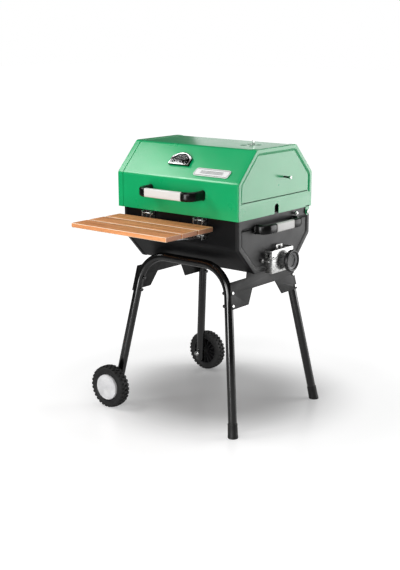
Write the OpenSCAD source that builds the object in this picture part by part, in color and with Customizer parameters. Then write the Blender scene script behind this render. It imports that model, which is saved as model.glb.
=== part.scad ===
// Charcoal grill with a faceted hood, a lifting charcoal tray, a folding shelf and two wheels.
// Millimetres, +Z up, +X towards the lift handwheel, -Y towards the cook.

/* [Hood] */
// Length of the hood over its two end caps
hood_len = 570; // [540:5:600]
// Depth of the hood, front to back
hood_depth = 460; // [454:2:480]
// Height of the hood's lower edge above the floor
hood_base_z = 782; // [780:1:800]
// Height of the bend between the upright walls and the slopes
hood_bend_z = 913; // [900:1:925]
// Height of the flat top
hood_top_z = 1024; // [1010:1:1040]
// Half the width of the flat top
hood_flat = 123; // [110:1:135]
// Width of the turned edge of each end cap
cap_flange = 25; // [18:1:30]
// Opening angle of the hood
hood_open = 85; // [60:1:85]

/* [Bowl] */
// Left end of the bowl
bowl_left = -261; // [-270:1:-250]
// Right end of the bowl
bowl_right = 281; // [275:1:282]
// Depth of the bowl, front to back
bowl_depth = 446; // [440:1:448]
// Height of the bowl's rim
bowl_rim_z = 788; // [784:1:792]
// Height of the bowl's lower bend
bowl_bend_z = 679; // [670:1:690]
// Height of the bowl's flat bottom
bowl_floor_z = 577; // [577:1:585]
// Half the width of the flat bottom
bowl_flat = 126; // [120:1:130]
// Thickness of the sheet steel
sheet = 1.5; // [1.2:0.1:2]

/* [Stand] */
// Outer diameter of the leg tube
tube_d = 32; // [28:1:34]
// Wall of the leg tube
tube_wall = 1.5; // [1.2:0.1:2]
// Half the distance between the feet along X
foot_x = 293; // [285:1:300]
// Half the distance between the feet along Y
foot_y = 266; // [260:1:272]
// Lean of the legs along X, millimetres for each millimetre of height
lean_x = 0.157; // [0.14:0.001:0.17]
// Lean of the leg loops along Y, millimetres for each millimetre of height
lean_y = 0.145; // [0.14:0.001:0.15]
// Height of the loops' top bar
loop_z = 600; // [590:1:602]
// Bend radius of the leg tube
loop_bend = 125; // [110:1:130]

/* [Wheels] */
// Diameter of the wheels
wheel_d = 166; // [150:2:170]
// Width of the tyres
wheel_w = 47; // [40:1:50]
// Diameter of the axle bolts
axle_d = 12; // [10:1:12]

/* [Shelf] */
// Length of the shelf boards
shelf_len = 450; // [420:5:460]
// Width of one board
board_w = 80; // [70:1:80]
// Gap between two boards
board_gap = 6.5; // [5:0.5:8]
// Thickness of the boards
board_t = 17; // [15:1:18]
// Height of the shelf's upper face
shelf_z = 758; // [750:1:760]

/* [Charcoal lift] */
// Travel of the charcoal tray above and below its middle height
lift_travel = 24; // [15:1:24]
// Diameter of the handwheel
handwheel_d = 84; // [70:1:86]
// Module of the rack and pinion
gear_module = 2; // [2:0.5:2]
// Teeth on the pinion
pinion_teeth = 12; // [12:1:12]

/* [Hidden] */
$fn = 64;
fit_gap = 0.2;
running = 0.05;
hood_end_x = hood_len / 2;
hood_half = hood_depth / 2;
bowl_half = bowl_depth / 2;
press_depth = 2.5;
panel_inset = 22;
bowl_panel_z = 742;
hood_panel_z = 843;

hinge_y = 203;
hinge_z = 762;
hinge_pin_r = 4;
stop_y = 118;
stop_z = 768;
stop_r = 4;
stud_y = 48;
stud_z = 911;
warm_rack_z = 903;
warm_wire = 4;

slot_half = 13;
slot_top_z = hood_base_z + 37;

lean_x_deg = atan(lean_x);
lean_y_deg = atan(lean_y);
loop_scale = sqrt(1 + lean_y * lean_y);
leg_deg = atan(lean_x / loop_scale);
tube_r = tube_d / 2;
bracket_t = 3;
bracket_bolt_z = [464, 510];

wheel_r = wheel_d / 2;
wheel_x = -(foot_x - lean_x * wheel_r);
leg_y_axle = foot_y - lean_y * wheel_r;
wheel_in_y = leg_y_axle + tube_r + 8;
wheel_out_y = wheel_in_y + wheel_w;
axle_r = axle_d / 2;
leg_cut_z = 54;
leg_end = 8;
bend_steps = 9;
tube_sides = 24;

shelf_x0 = -262;
shelf_back_y = -248;
shelf_step = board_w + board_gap;
shelf_front_y = shelf_back_y - 3 * board_w - 2 * board_gap;
shelf_pivot = [-238, 720];
lock_bolt = [-236, 771];
hinge_x = [-130, 115];
ear_half = 20;
arm_half = 15;

grate_z = 758;
grate_wire = 5;
rack_x = 287;
rack_t = 5;
rack_pitch_r = gear_module * pinion_teeth / 2;
shaft_y = 30;
shaft_z = 608;
shaft_r = 5;
rack_y = shaft_y - rack_pitch_r - 0.2;
rack_back_y = rack_y - 26;
rack_low_z = shaft_z - lift_travel - 6;
rack_high_z = shaft_z + lift_travel + 15;
tooth_pitch = PI * gear_module;
carrier_z = 610;
carrier_h = 12;
housing_x1 = 311;
housing_y0 = -60;
housing_y1 = 72;
housing_z0 = 571;
housing_z1 = 655;
housing_screw_y = [housing_y0 + 8, housing_y1 - 8];
housing_screw_z = [610, 640];
end_face_x = bowl_right - press_depth;
handwheel_x = 334;
rim_r = 8;
latch_y = -84;
latch_z = 620;
latch_out_x = 319;
latch_arm = 42;
latch_deg = 75;
latch_r = 2.5;

lid_grip_len = 170;
lid_grip_x = 3;
lid_grip_z = 861;
lid_grip_out = 70;
side_grip_len = 108;
side_grip_z = 741;
side_grip_out = 42;
grip_h = 31;
grip_t = 17;
lid_base = 262;
side_base = 250;

slope_deg = atan2(hood_top_z - hood_bend_z, hood_half - hood_flat);
slope_len = norm([hood_top_z - hood_bend_z, hood_half - hood_flat]);
gauge_x = -16;
gauge_s = 54.5;
gauge_w = 94;
gauge_h = 55;
gauge_round = 0.62;
plate_x = 149;
plate_s = 36;
plate_len = 156;
plate_h = 33;
vent_x = 168;
vent_y = 0;
vent_r = 48;

left_reach = -wheel_x + wheel_r;
right_reach = handwheel_x + rim_r;
front_reach = -shelf_front_y;
rear_reach = wheel_out_y + 4;
shift_x = (left_reach - right_reach) / 2;
shift_y = (front_reach - rear_reach) / 2;

// Six-sided outline of the hood or the bowl in Y and Z, drawn in by t, its open edge moved by e.
function profile(half, flat, z_open, z_bend, z_flat, t = 0, e = 0) =
    let (s = sign(z_flat - z_open), rise = abs(z_flat - z_bend), m = rise / (half - flat),
         q = t * sqrt(1 + m * m), h = half - t, b = z_bend + s * (t * m - q),
         f = half - (rise - t + q) / m, z = z_flat - s * t, o = z_open - s * e)
    [[-h, o], [-h, b], [-f, z], [f, z], [h, b], [h, o]];

function hood_outline(t = 0, e = 0, open_z = hood_base_z) =
    profile(hood_half, hood_flat, open_z, hood_bend_z, hood_top_z, t, e);

function bowl_outline(t = 0, e = 0, open_z = bowl_rim_z) =
    profile(bowl_half, bowl_flat, open_z, bowl_bend_z, bowl_floor_z, t, e);

// Distance of a leg's centre line from the middle at height z, along X and along Y.
function leg_x(z) = foot_x - lean_x * z;
function leg_y(z) = foot_y - lean_y * z;

module placed() { translate([shift_x, shift_y, 0]) children(); }

// Extrudes a Y-Z outline along X.
module along_x(x0, length) { translate([x0, 0, 0]) rotate([90, 0, 90]) linear_extrude(length) children(); }

module rod_x(x0, x1, y, z, r) { translate([x0, y, z]) rotate([0, 90, 0]) cylinder(h = x1 - x0, r = r); }

module rod_y(x, y0, y1, z, r) { translate([x, y0, z]) rotate([-90, 0, 0]) cylinder(h = y1 - y0, r = r); }

module box(x0, x1, y0, y1, z0, z1) { translate([x0, y0, z0]) cube([x1 - x0, y1 - y0, z1 - z0]); }

// ---- bowl ----

module bowl_shell() {
    color([0.08, 0.08, 0.09])
    difference() {
        along_x(bowl_left + sheet + fit_gap, bowl_right - bowl_left - 2 * (sheet + fit_gap))
            difference() {
                polygon(bowl_outline(sheet + fit_gap));
                polygon(bowl_outline(2 * sheet + fit_gap, 1));
            }
        for (p = bowl_bolt_places()) translate([p[0], p[1], bowl_floor_z - 2]) cylinder(h = 10, r = 3.2);
    }
}

function bowl_bolt_places() = [for (sx = [-1, 1], sy = [-1, 1]) [sx * (leg_x(bowl_floor_z) - 8), sy * 60]];

// Pan-shaped end of the bowl with a pressed panel, drawn for the +X side with its outer face at x = 0.
module bowl_end_pan() {
    panel = bowl_outline(panel_inset, 0, bowl_panel_z);
    wide_panel = bowl_outline(panel_inset - sheet, 0, bowl_panel_z + sheet);
    difference() {
        union() {
            along_x(-press_depth - sheet, press_depth + sheet) polygon(bowl_outline());
            along_x(-15, 15 - press_depth - sheet)
                difference() { polygon(bowl_outline()); polygon(bowl_outline(sheet, 1)); }
        }
        along_x(-press_depth, press_depth + 1) polygon(panel);
        along_x(-press_depth - sheet - 1, press_depth + 1)
            difference() { polygon(bowl_outline(sheet, 1)); polygon(wide_panel); }
    }
}

// Holes in a bowl end for the lid's hinge pin and the lid stop.
module bowl_end_holes() {
    rod_x(-30, 10, hinge_y, hinge_z, hinge_pin_r);
    rod_x(-30, 10, stop_y, stop_z, stop_r);
}

module bowl_end_left() {
    color([0.1, 0.1, 0.11])
    translate([bowl_left, 0, 0]) mirror([1, 0, 0]) difference() { bowl_end_pan(); bowl_end_holes(); }
}

module bowl_end_right() {
    color([0.1, 0.1, 0.11])
    difference() {
        translate([bowl_right, 0, 0]) difference() { bowl_end_pan(); bowl_end_holes(); }
        box(bowl_right - 10, bowl_right + 5, rack_back_y - 1, rack_back_y + 15,
            carrier_z - lift_travel - 2, carrier_z + carrier_h + lift_travel + 2);
        rod_x(bowl_right - 20, bowl_right + 5, shaft_y, shaft_z, 9);
        for (y = housing_screw_y, z = housing_screw_z)
            rod_x(bowl_right - 20, bowl_right + 5, y, z, 2.6);
        rod_x(bowl_right - 20, bowl_right + 5, latch_y, latch_z, 3.05);
    }
}

module grate_ledges() {
    color([0.12, 0.12, 0.13])
    for (s = [-1, 1]) scale_y(s) {
        y1 = bowl_half - 2 * sheet - 2 * fit_gap;
        box(bowl_left + 20, bowl_right - 20, y1 - 20, y1, grate_z - 6 - 2, grate_z - 6);
        box(bowl_left + 20, bowl_right - 20, y1 - 2, y1, grate_z - 30, grate_z - 8);
    }
}

module scale_y(s) { if (s < 0) mirror([0, 1, 0]) children(); else children(); }

module scale_x(s) { if (s < 0) mirror([1, 0, 0]) children(); else children(); }

// Shouldered bolts on the bowl's ends that the hood's caps come to rest against.
module lid_stop_bolts() {
    color([0.8, 0.8, 0.8]) {
        stop_bolt(bowl_right);
        mirror([1, 0, 0]) stop_bolt(-bowl_left);
    }
}

module stop_bolt(x) {
    rod_x(x - 7, x + 18, stop_y, stop_z, stop_r);
    rod_x(x - sheet - 5, x - sheet, stop_y, stop_z, 8);
    rod_x(x + 6, x + 14, stop_y, stop_z, 7);
}

// ---- handles ----

// Flat bar along X with rounded long edges, centred on the origin.
module grip_bar(length) {
    translate([-length / 2, 0, 0]) rotate([90, 0, 90]) linear_extrude(length) grip_section(grip_t, grip_h);
}

module grip_section(t, h) {
    union() {
        square([t, h - t], center = true);
        for (s = [-1, 1]) translate([0, s * (h - t) / 2]) circle(d = t);
    }
}

// One curved end of a handle: a foot on the wall at y = 0, then an arc that turns in to the grip.
module handle_end(grip_end, base_end, out) {
    r = min(out - grip_t / 2, base_end - grip_end - grip_t / 2) - 4;
    union() {
        translate([grip_end, -out, 0]) rotate([90, 0, 90]) linear_extrude(base_end - grip_end - r - grip_t / 2)
            grip_section(grip_t, grip_h);
        translate([base_end - r - grip_t / 2, -out + r, 0]) rotate([0, 0, -90])
            rotate_extrude(angle = 90, $fn = 96) translate([r, 0]) grip_section(grip_t, grip_h);
        translate([base_end - grip_t / 2, -out + r, 0]) rotate([-90, 0, 0])
            linear_extrude(out - r) grip_section(grip_t, grip_h);
    }
}

module handle_pair(grip_len, base, out) {
    for (s = [-1, 1]) scale_x(s) handle_end(grip_len / 2 + fit_gap, base / 2, out);
}

module on_side(s) {
    x = s > 0 ? bowl_right - press_depth + fit_gap : bowl_left + press_depth - fit_gap;
    translate([x, 0, side_grip_z]) rotate([0, 0, s * 90]) children();
}

module side_grip(s) {
    color([0.93, 0.93, 0.92]) on_side(s) translate([0, -side_grip_out, 0]) grip_bar(side_grip_len);
}

module side_handle_grip_left() { side_grip(-1); }

module side_handle_grip_right() { side_grip(1); }

// The feet stand in the pressed panel and step over its upper edge.
module side_handle_ends() {
    color([0.07, 0.07, 0.07])
    difference() {
        for (s = [-1, 1]) on_side(s) handle_pair(side_grip_len, side_base, side_grip_out);
        box(bowl_left - fit_gap, bowl_right + fit_gap, -200, 200, bowl_panel_z - fit_gap, bowl_rim_z);
    }
}

module lid_handle_grip() {
    color([0.93, 0.93, 0.92])
    translate([lid_grip_x, -hood_half - lid_grip_out, lid_grip_z]) grip_bar(lid_grip_len);
}

module lid_handle_ends() {
    color([0.07, 0.07, 0.07])
    translate([lid_grip_x, -hood_half + sheet, lid_grip_z])
        handle_pair(lid_grip_len, lid_base, lid_grip_out + sheet);
}

// ---- charcoal lift ----

module lift_housing() {
    color([0.78, 0.78, 0.76])
    difference() {
        union() {
            box(housing_x1 - sheet, housing_x1, housing_y0, housing_y1, housing_z0, housing_z1);
            box(end_face_x, housing_x1, housing_y0, housing_y0 + sheet, housing_z0, housing_z1);
            box(end_face_x, housing_x1, housing_y1 - sheet, housing_y1, housing_z0, housing_z1);
            box(end_face_x, end_face_x + sheet, housing_y0, housing_y0 + 16, housing_z0 + 30, housing_z1 - 6);
            box(end_face_x, end_face_x + sheet, housing_y1 - 16, housing_y1, housing_z0 + 30, housing_z1 - 6);
        }
        box(end_face_x - 1, bowl_right + fit_gap, -200, 200,
            housing_z0 - 1, bowl_floor_z + panel_inset + fit_gap);
        rod_x(housing_x1 - 5, housing_x1 + 5, shaft_y, shaft_z, shaft_r + running);
        for (y = housing_screw_y, z = housing_screw_z)
            rod_x(end_face_x - 5, end_face_x + 5, y, z, 2.6);
        box(housing_x1 - 30, housing_x1 - 14, housing_y0 - 5, housing_y0 + 5, 630, 642);
    }
}

module housing_screws() {
    color([0.8, 0.8, 0.78])
    for (y = housing_screw_y, z = housing_screw_z) {
        rod_x(end_face_x - 8, end_face_x + sheet + 1, y, z, 2.5);
        rod_x(end_face_x + sheet, end_face_x + sheet + 3, y, z, 4.5);
        rod_x(end_face_x - sheet - 4, end_face_x - sheet, y, z, 4.5);
    }
}

module shaft_bush() {
    color([0.75, 0.6, 0.35])
    difference() {
        union() {
            rod_x(end_face_x - 8, end_face_x + 3, shaft_y, shaft_z, 9);
            rod_x(end_face_x - sheet - 3, end_face_x - sheet, shaft_y, shaft_z, 12);
        }
        rod_x(end_face_x - 10, end_face_x + 10, shaft_y, shaft_z, shaft_r + running);
    }
}

// Toothed bar that carries the tray, with a square eye in its head.
module lift_rack() {
    color([0.82, 0.82, 0.8])
    difference() {
        union() {
            box(rack_x, rack_x + rack_t, rack_back_y, rack_y - 2.6, rack_low_z, rack_high_z);
            box(rack_x, rack_x + rack_t, rack_back_y, rack_back_y + 38, rack_high_z, rack_high_z + 21);
            for (i = [-4 : 4])
                translate([rack_x, rack_y, shaft_z + i * tooth_pitch]) rotate([90, 0, 90])
                    linear_extrude(rack_t) polygon([[-3, -2.45], [1.7, -0.75], [1.7, 0.75], [-3, 2.45]]);
        }
        translate([rack_x - 1, rack_back_y + 11, rack_high_z + 3]) cube([rack_t + 2, 15, 14]);
    }
}

// Lift frame inside the bowl, with a neck that passes through the slot in the bowl's end.
module tray_carrier() {
    color([0.3, 0.3, 0.31])
    union() {
        box(bowl_right - 22, rack_x, rack_back_y + 1, rack_back_y + 13, carrier_z, carrier_z + carrier_h);
        box(bowl_right - 26, bowl_right - 20, -100, 100, carrier_z, carrier_z + carrier_h);
        for (s = [-1, 1])
            box(bowl_left + 40, bowl_right - 24, s * 90 - 4, s * 90 + 4, carrier_z, carrier_z + 6);
        for (x = [bowl_left + 40, 0]) box(x, x + 8, -90, 90, carrier_z, carrier_z + 6);
    }
}

module charcoal_tray() {
    x0 = bowl_left + 32;
    x1 = bowl_right - 30;
    z0 = carrier_z + 6 + fit_gap;
    color([0.2, 0.2, 0.21])
    difference() {
        box(x0, x1, -112, 112, z0, z0 + 24);
        box(x0 + sheet, x1 - sheet, -112 + sheet, 112 - sheet, z0 + sheet, z0 + 30);
        for (i = [0 : 10], j = [-1, 0, 1])
            box(x0 + 22 + i * 42, x0 + 30 + i * 42, j * 64 - 24, j * 64 + 24, z0 - 1, z0 + 5);
    }
}

module pinion_shaft() {
    color([0.8, 0.8, 0.8])
    union() {
        rod_x(end_face_x - 9, handwheel_x - 6, shaft_y, shaft_z, shaft_r);
        translate([rack_x - 0.5, shaft_y, shaft_z]) rotate([90, 0, 90])
            linear_extrude(rack_t + 1) pinion_outline();
    }
}

module pinion_outline() {
    union() {
        circle(r = rack_pitch_r - 2.7);
        for (i = [0 : pinion_teeth - 1]) rotate(i * 360 / pinion_teeth + 180 / pinion_teeth)
            polygon([[rack_pitch_r - 4, -2], [rack_pitch_r, -1.3], [rack_pitch_r + 1.5, -0.6],
                     [rack_pitch_r + 1.5, 0.6], [rack_pitch_r, 1.3], [rack_pitch_r - 4, 2]]);
    }
}

module handwheel_rim() {
    color([0.08, 0.08, 0.08])
    translate([handwheel_x, shaft_y, shaft_z]) rotate([0, 90, 0])
        rotate_extrude($fn = 96) translate([handwheel_d / 2 - rim_r, 0]) circle(r = rim_r, $fn = 32);
}

module handwheel_hub() {
    color([0.55, 0.55, 0.55])
    translate([handwheel_x, shaft_y, shaft_z]) rotate([0, 90, 0])
    difference() {
        union() {
            translate([0, 0, -6]) cylinder(h = 9, r = handwheel_d / 2 - 2 * rim_r);
            translate([0, 0, -14]) cylinder(h = 9, r = 12);
            cylinder(h = 6, r = 15);
        }
        translate([0, 0, -20]) cylinder(h = 14, r = shaft_r);
    }
}

// Bent wire handle: a shank that turns in the bowl's end, and an arm that lies across the housing.
module latch_wire() {
    color([0.85, 0.85, 0.83])
    union() {
        rod_x(bowl_right - 12, latch_out_x, latch_y, latch_z, latch_r);
        translate([latch_out_x, latch_y, latch_z]) rotate([-latch_deg, 0, 0])
            cylinder(h = latch_arm, r = latch_r);
        translate([latch_out_x, latch_y, latch_z]) sphere(r = latch_r);
        translate([latch_out_x, latch_y + latch_arm * sin(latch_deg), latch_z + latch_arm * cos(latch_deg)])
            sphere(r = latch_r);
    }
}

module latch_nut() {
    color([0.8, 0.8, 0.78])
    translate([bowl_right + 0.8, latch_y, latch_z]) rotate([0, 90, 0])
    difference() { cylinder(h = 5, r = 6.5, $fn = 6); translate([0, 0, -1]) cylinder(h = 7, r = latch_r); }
}

// ---- grates ----

module wire_grid(x0, x1, y_half, z, count, wire) {
    bar = 5;
    union() {
        for (y = [-y_half + 14, 0, y_half - 14]) box(x0, x1, y - bar / 2, y + bar / 2, z - bar, z + 0.8);
        for (i = [0 : count - 1])
            rod_y(x0 + wire / 2 + i * (x1 - x0 - wire) / (count - 1), -y_half, y_half,
                  z + wire / 2 - 0.2, wire / 2);
    }
}

module cooking_grate(x0, x1) { color([0.5, 0.5, 0.5]) wire_grid(x0, x1, bowl_half - 6, grate_z, 17, grate_wire); }

module cooking_grate_left() { cooking_grate(bowl_left + 8, 8); }

module cooking_grate_right() { cooking_grate(12, bowl_right - 8); }

module warming_rack() {
    color([0.6, 0.6, 0.6])
    translate([0, stud_y, 0]) wire_grid(-hood_end_x + 24, hood_end_x - 24, 72, warm_rack_z, 30, warm_wire);
}

// Studs through the hood's caps that the warming rack hangs on.
module rack_studs() {
    color([0.7, 0.7, 0.7])
    for (s = [-1, 1]) scale_x(s) {
        rod_x(hood_end_x - 30, hood_end_x + 21, stud_y, stud_z, 3.5);
        rod_x(hood_end_x + 21, hood_end_x + 29, stud_y, stud_z, 5);
        box(hood_end_x - 30, hood_end_x - 27, stud_y - 20, stud_y + 20,
            warm_rack_z + warm_wire - 0.2, stud_z + 8);
    }
}

// ---- hood ----

module hood_shell() {
    x1 = hood_end_x - press_depth - sheet - fit_gap;
    color([0.05, 0.6, 0.33])
    difference() {
        along_x(-x1, 2 * x1)
            difference() {
                polygon(hood_outline(sheet + fit_gap));
                polygon(hood_outline(2 * sheet + fit_gap, 1));
            }
        on_slope(gauge_x, gauge_s + 26) translate([0, 0, -10]) cylinder(h = 20, r = 6);
        for (i = [0 : 3]) translate([vent_x, vent_y, hood_top_z - 10])
            rotate([0, 0, 45 + i * 90]) translate([28, 0, 0]) cylinder(h = 20, r = 12);
        translate([vent_x, vent_y, hood_top_z - 10]) cylinder(h = 20, r = 4);
    }
}

// Places a piece on the front slope: x along the slope's edge, s up the slope, z out of the face.
module on_slope(x, s) {
    translate([x, -hood_half, hood_bend_z]) rotate([slope_deg, 0, 0])
        translate([0, s, -(sheet + fit_gap)]) children();
}

// Pan-shaped end cap with a pressed panel, a spit slot and a hinge ear, outer face at x = 0.
module hood_cap_pan() {
    panel = hood_outline(panel_inset, 0, hood_panel_z);
    wide_panel = hood_outline(panel_inset - sheet, 0, hood_panel_z - sheet);
    difference() {
        union() {
            along_x(-press_depth - sheet, press_depth + sheet) polygon(hood_outline());
            along_x(-cap_flange, cap_flange - press_depth - sheet)
                difference() { polygon(hood_outline()); polygon(hood_outline(sheet, 1)); }
            along_x(-sheet, sheet) hinge_ear_outline();
        }
        along_x(-press_depth, press_depth + 1) polygon(panel);
        along_x(-press_depth - sheet - 1, press_depth + 1)
            difference() { polygon(hood_outline(sheet, 1)); polygon(wide_panel); }
        along_x(-10, 20) union() {
            translate([-slot_half, hood_base_z - 2])
                square([2 * slot_half, slot_top_z - slot_half - hood_base_z + 2]);
            translate([0, slot_top_z - slot_half]) circle(r = slot_half);
        }
        rod_x(-20, 20, hinge_y, hinge_z, hinge_pin_r + running);
        rod_x(-20, 20, stud_y, stud_z, 3.6);
    }
}

module hinge_ear_outline() {
    difference() {
        union() {
            translate([hinge_y - 12, hinge_z]) square([24, hood_base_z - hinge_z + 5]);
            translate([hinge_y, hinge_z]) circle(r = 12);
        }
        translate([hinge_y, hinge_z]) circle(r = hinge_pin_r + running);
    }
}

module hood_cap(s) { color([0.05, 0.6, 0.33]) scale_x(s) translate([hood_end_x, 0, 0]) hood_cap_pan(); }

module hood_cap_left() { hood_cap(-1); }

module hood_cap_right() { hood_cap(1); }

module lid_hinge_pins() {
    color([0.75, 0.75, 0.75]) {
        hinge_pin(bowl_right, hood_end_x);
        mirror([1, 0, 0]) hinge_pin(-bowl_left, hood_end_x);
    }
}

module hinge_pin(bowl_x, cap_x) {
    rod_x(bowl_x - 6, cap_x + 6, hinge_y, hinge_z, hinge_pin_r);
    rod_x(cap_x + 0.5, cap_x + 5.5, hinge_y, hinge_z, 8);
    rod_x(bowl_x + 0.05, cap_x - sheet - 0.4, hinge_y, hinge_z, 7);
}

// Dome outline with a flat lower edge and upright sides, centred on x = 0 with its flat at y = 0.
module dome(w, h) {
    r = gauge_round * w;
    intersection() {
        translate([0, h - r]) circle(r = r, $fn = 128);
        translate([-w / 2, 0]) square([w, h]);
    }
}

module thermometer_bezel() {
    color([0.85, 0.85, 0.85])
    on_slope(gauge_x, gauge_s) difference() {
        linear_extrude(9) dome(gauge_w, gauge_h);
        translate([0, 5, 3]) linear_extrude(10) dome(gauge_w - 14, gauge_h - 12);
        translate([0, 26, -1]) cylinder(h = 8, r = 6);
    }
}

module thermometer_dial() {
    color([0.06, 0.06, 0.06])
    on_slope(gauge_x, gauge_s) difference() {
        translate([0, 5.2, 3]) linear_extrude(1) dome(gauge_w - 14.6, gauge_h - 12.4);
        translate([0, 18, -1]) cylinder(h = 8, r = 2.2);
    }
}

module thermometer_needle() {
    color([0.85, 0.2, 0.1])
    on_slope(gauge_x, gauge_s) translate([0, 18, 0]) union() {
        translate([0, 0, 3.2]) cylinder(h = 2, r = 2);
        translate([0, 0, 4.4]) rotate([0, 0, 150]) linear_extrude(0.8)
            polygon([[-5, -1.5], [24, -0.5], [24, 0.5], [-5, 1.5]]);
    }
}

module thermometer_lens() {
    color([0.8, 0.9, 0.95, 0.4])
    on_slope(gauge_x, gauge_s) translate([0, 5.2, 6.5])
        linear_extrude(1.5) dome(gauge_w - 14.6, gauge_h - 12.4);
}

module thermometer_stem() {
    color([0.7, 0.7, 0.7])
    on_slope(gauge_x, gauge_s) translate([0, 26, 0]) union() {
        translate([0, 0, -60]) cylinder(h = 62.8, r = 3);
        translate([0, 0, -7]) cylinder(h = 4.5, r = 9, $fn = 6);
        translate([0, 0, -3]) cylinder(h = 5.8, r = 5.8);
    }
}

module name_plate() {
    color([0.93, 0.93, 0.93])
    on_slope(plate_x, plate_s) linear_extrude(3)
        polygon([[-plate_len / 2 - 3, -plate_h / 2], [plate_len / 2 - 3, -plate_h / 2],
                 [plate_len / 2 + 3, plate_h / 2], [-plate_len / 2 + 3, plate_h / 2]]);
}

module vent_damper() {
    color([0.05, 0.55, 0.3])
    translate([vent_x, vent_y, hood_top_z - sheet - fit_gap + 0.3]) difference() {
        cylinder(h = 1.5, r = vent_r);
        for (i = [0 : 3]) rotate([0, 0, 45 + i * 90]) translate([28, 0, -1]) cylinder(h = 4, r = 12);
        translate([0, 0, -1]) cylinder(h = 4, r = 4 + running);
    }
}

module vent_tab() {
    color([0.8, 0.8, 0.8])
    translate([vent_x, vent_y, hood_top_z - sheet - fit_gap + 1.85])
        box(10, 12, -7, 7, 0, 22);
}

module vent_rivet() {
    color([0.75, 0.75, 0.75])
    translate([vent_x, vent_y, hood_top_z - 6]) union() {
        cylinder(h = 8, r = 4);
        cylinder(h = 2.5, r = 7);
        translate([0, 0, 6.3]) cylinder(h = 2.5, r = 7);
    }
}

// ---- stand ----

// Stations of the bent tube's centre line in X and Z, from the right foot over the bar to the left
// foot: each is the place and the angle of the direction that points out of the bend.
function loop_stations() = let (
    top = loop_z * loop_scale, turn = 90 - leg_deg,
    bar = foot_x - lean_x * loop_z - loop_bend * tan(turn / 2),
    steps = [for (i = [0 : bend_steps]) leg_deg + i * turn / bend_steps],
    arc = [for (q = steps) [bar + loop_bend * cos(q), top - loop_bend + loop_bend * sin(q), q]],
    foot = [foot_x - leg_end * sin(leg_deg), leg_end * cos(leg_deg), leg_deg],
    cut = [foot_x - leg_cut_z * sin(leg_deg), leg_cut_z * cos(leg_deg), leg_deg],
    flipped = [for (i = [bend_steps : -1 : 0]) [-arc[i][0], arc[i][1], 180 - arc[i][2]]])
    concat([foot], arc, flipped, [[-cut[0], cut[1], 180 - cut[2]]]);

// Points of a ring of radius r around one station.
function ring(station, r) = [for (j = [0 : tube_sides - 1]) let (q = j * 360 / tube_sides)
    [station[0] + r * cos(q) * cos(station[2]), r * sin(q), station[1] + r * cos(q) * sin(station[2])]];

// The bent tube, hollow, drawn upright in X and Z with the feet at z = 0.
module loop_flat() {
    stations = loop_stations();
    n = len(stations);
    m = tube_sides;
    outer = [for (s = stations) each ring(s, tube_r)];
    inner = [for (s = stations) each ring(s, tube_r - tube_wall)];
    k = n * m;
    wall = [for (i = [0 : n - 2], j = [0 : m - 1])
        let (a = i * m + j, b = i * m + (j + 1) % m) [a, b, b + m, a + m]];
    bore = [for (f = wall) [f[3] + k, f[2] + k, f[1] + k, f[0] + k]];
    ends = [for (j = [0 : m - 1]) let (b = (j + 1) % m, z = (n - 1) * m) each
        [[b, j, j + k, b + k], [z + j, z + b, z + b + k, z + j + k]]];
    polyhedron(points = concat(outer, inner), faces = concat(wall, bore, ends));
}

module leg_loop() {
    difference() {
        translate([0, -foot_y, 0]) rotate([-lean_y_deg, 0, 0]) loop_flat();
        rod_y(wheel_x, -foot_y - 30, -foot_y + 60, wheel_r, axle_r);
        for (s = [-1, 1], z = bracket_bolt_z)
            on_bracket(s) rod_x(-60, 20, -leg_y(z), z / cos(lean_x_deg), 3.2);
    }
}

module leg_loop_front() { color([0.05, 0.05, 0.05]) leg_loop(); }

module leg_loop_rear() { color([0.05, 0.05, 0.05]) mirror([0, 1, 0]) leg_loop(); }

// Places a piece on the plane that touches the outer sides of both legs at one end of the grill.
module on_bracket(s) {
    scale_x(s) translate([foot_x, 0, 0]) rotate([0, -lean_x_deg, 0])
        translate([tube_r + fit_gap, 0, 0]) children();
}

// Arched plate that ties the two loops together and carries the bowl, with a folded top edge.
module side_bracket(s) {
    c = cos(lean_x_deg);
    flange_x = leg_x(bowl_floor_z) + 14;
    under_bowl_z = bowl_floor_z - fit_gap;
    difference() {
        union() {
            intersection() {
                on_bracket(s) along_x(0, bracket_t) polygon(bracket_outline(c));
                box(-400, 400, -300, 300, 300, under_bowl_z);
            }
            scale_x(s) box(flange_x - 34, flange_x + 6, -88, 88, under_bowl_z - bracket_t, under_bowl_z);
        }
        for (sy = [-1, 1], z = bracket_bolt_z) on_bracket(s) rod_x(-10, 20, sy * leg_y(z), z / c, 3.2);
        for (p = bowl_bolt_places()) translate([p[0], p[1], bowl_floor_z - 10]) cylinder(h = 20, r = 3.2);
    }
}

function bracket_outline(c) = let (
    low = 452 / c, arch = 506 / c, wing = 549 / c, high = (bowl_floor_z + 6) / c,
    half = [[72, arch], [106, low], [leg_y(452) + 10, low], [leg_y(549) + 10, wing], [100, wing], [88, high]])
    concat(half, [for (i = [5 : -1 : 0]) [-half[i][0], half[i][1]]]);

module side_bracket_left() { color([0.2, 0.2, 0.2]) side_bracket(-1); }

module side_bracket_right() { color([0.2, 0.2, 0.2]) side_bracket(1); }

module bracket_bolts() {
    c = cos(lean_x_deg);
    color([0.8, 0.8, 0.8])
    for (s = [-1, 1], sy = [-1, 1], z = bracket_bolt_z) on_bracket(s) {
        y = sy * leg_y(z);
        union() {
            rod_x(-tube_d - 8, bracket_t + 1, y, z / c, 3.1);
            rod_x(bracket_t, bracket_t + 3.5, y, z / c, 6);
            rod_x(-tube_d - 8.5, -tube_d - 3, y, z / c, 6);
        }
    }
}

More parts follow.
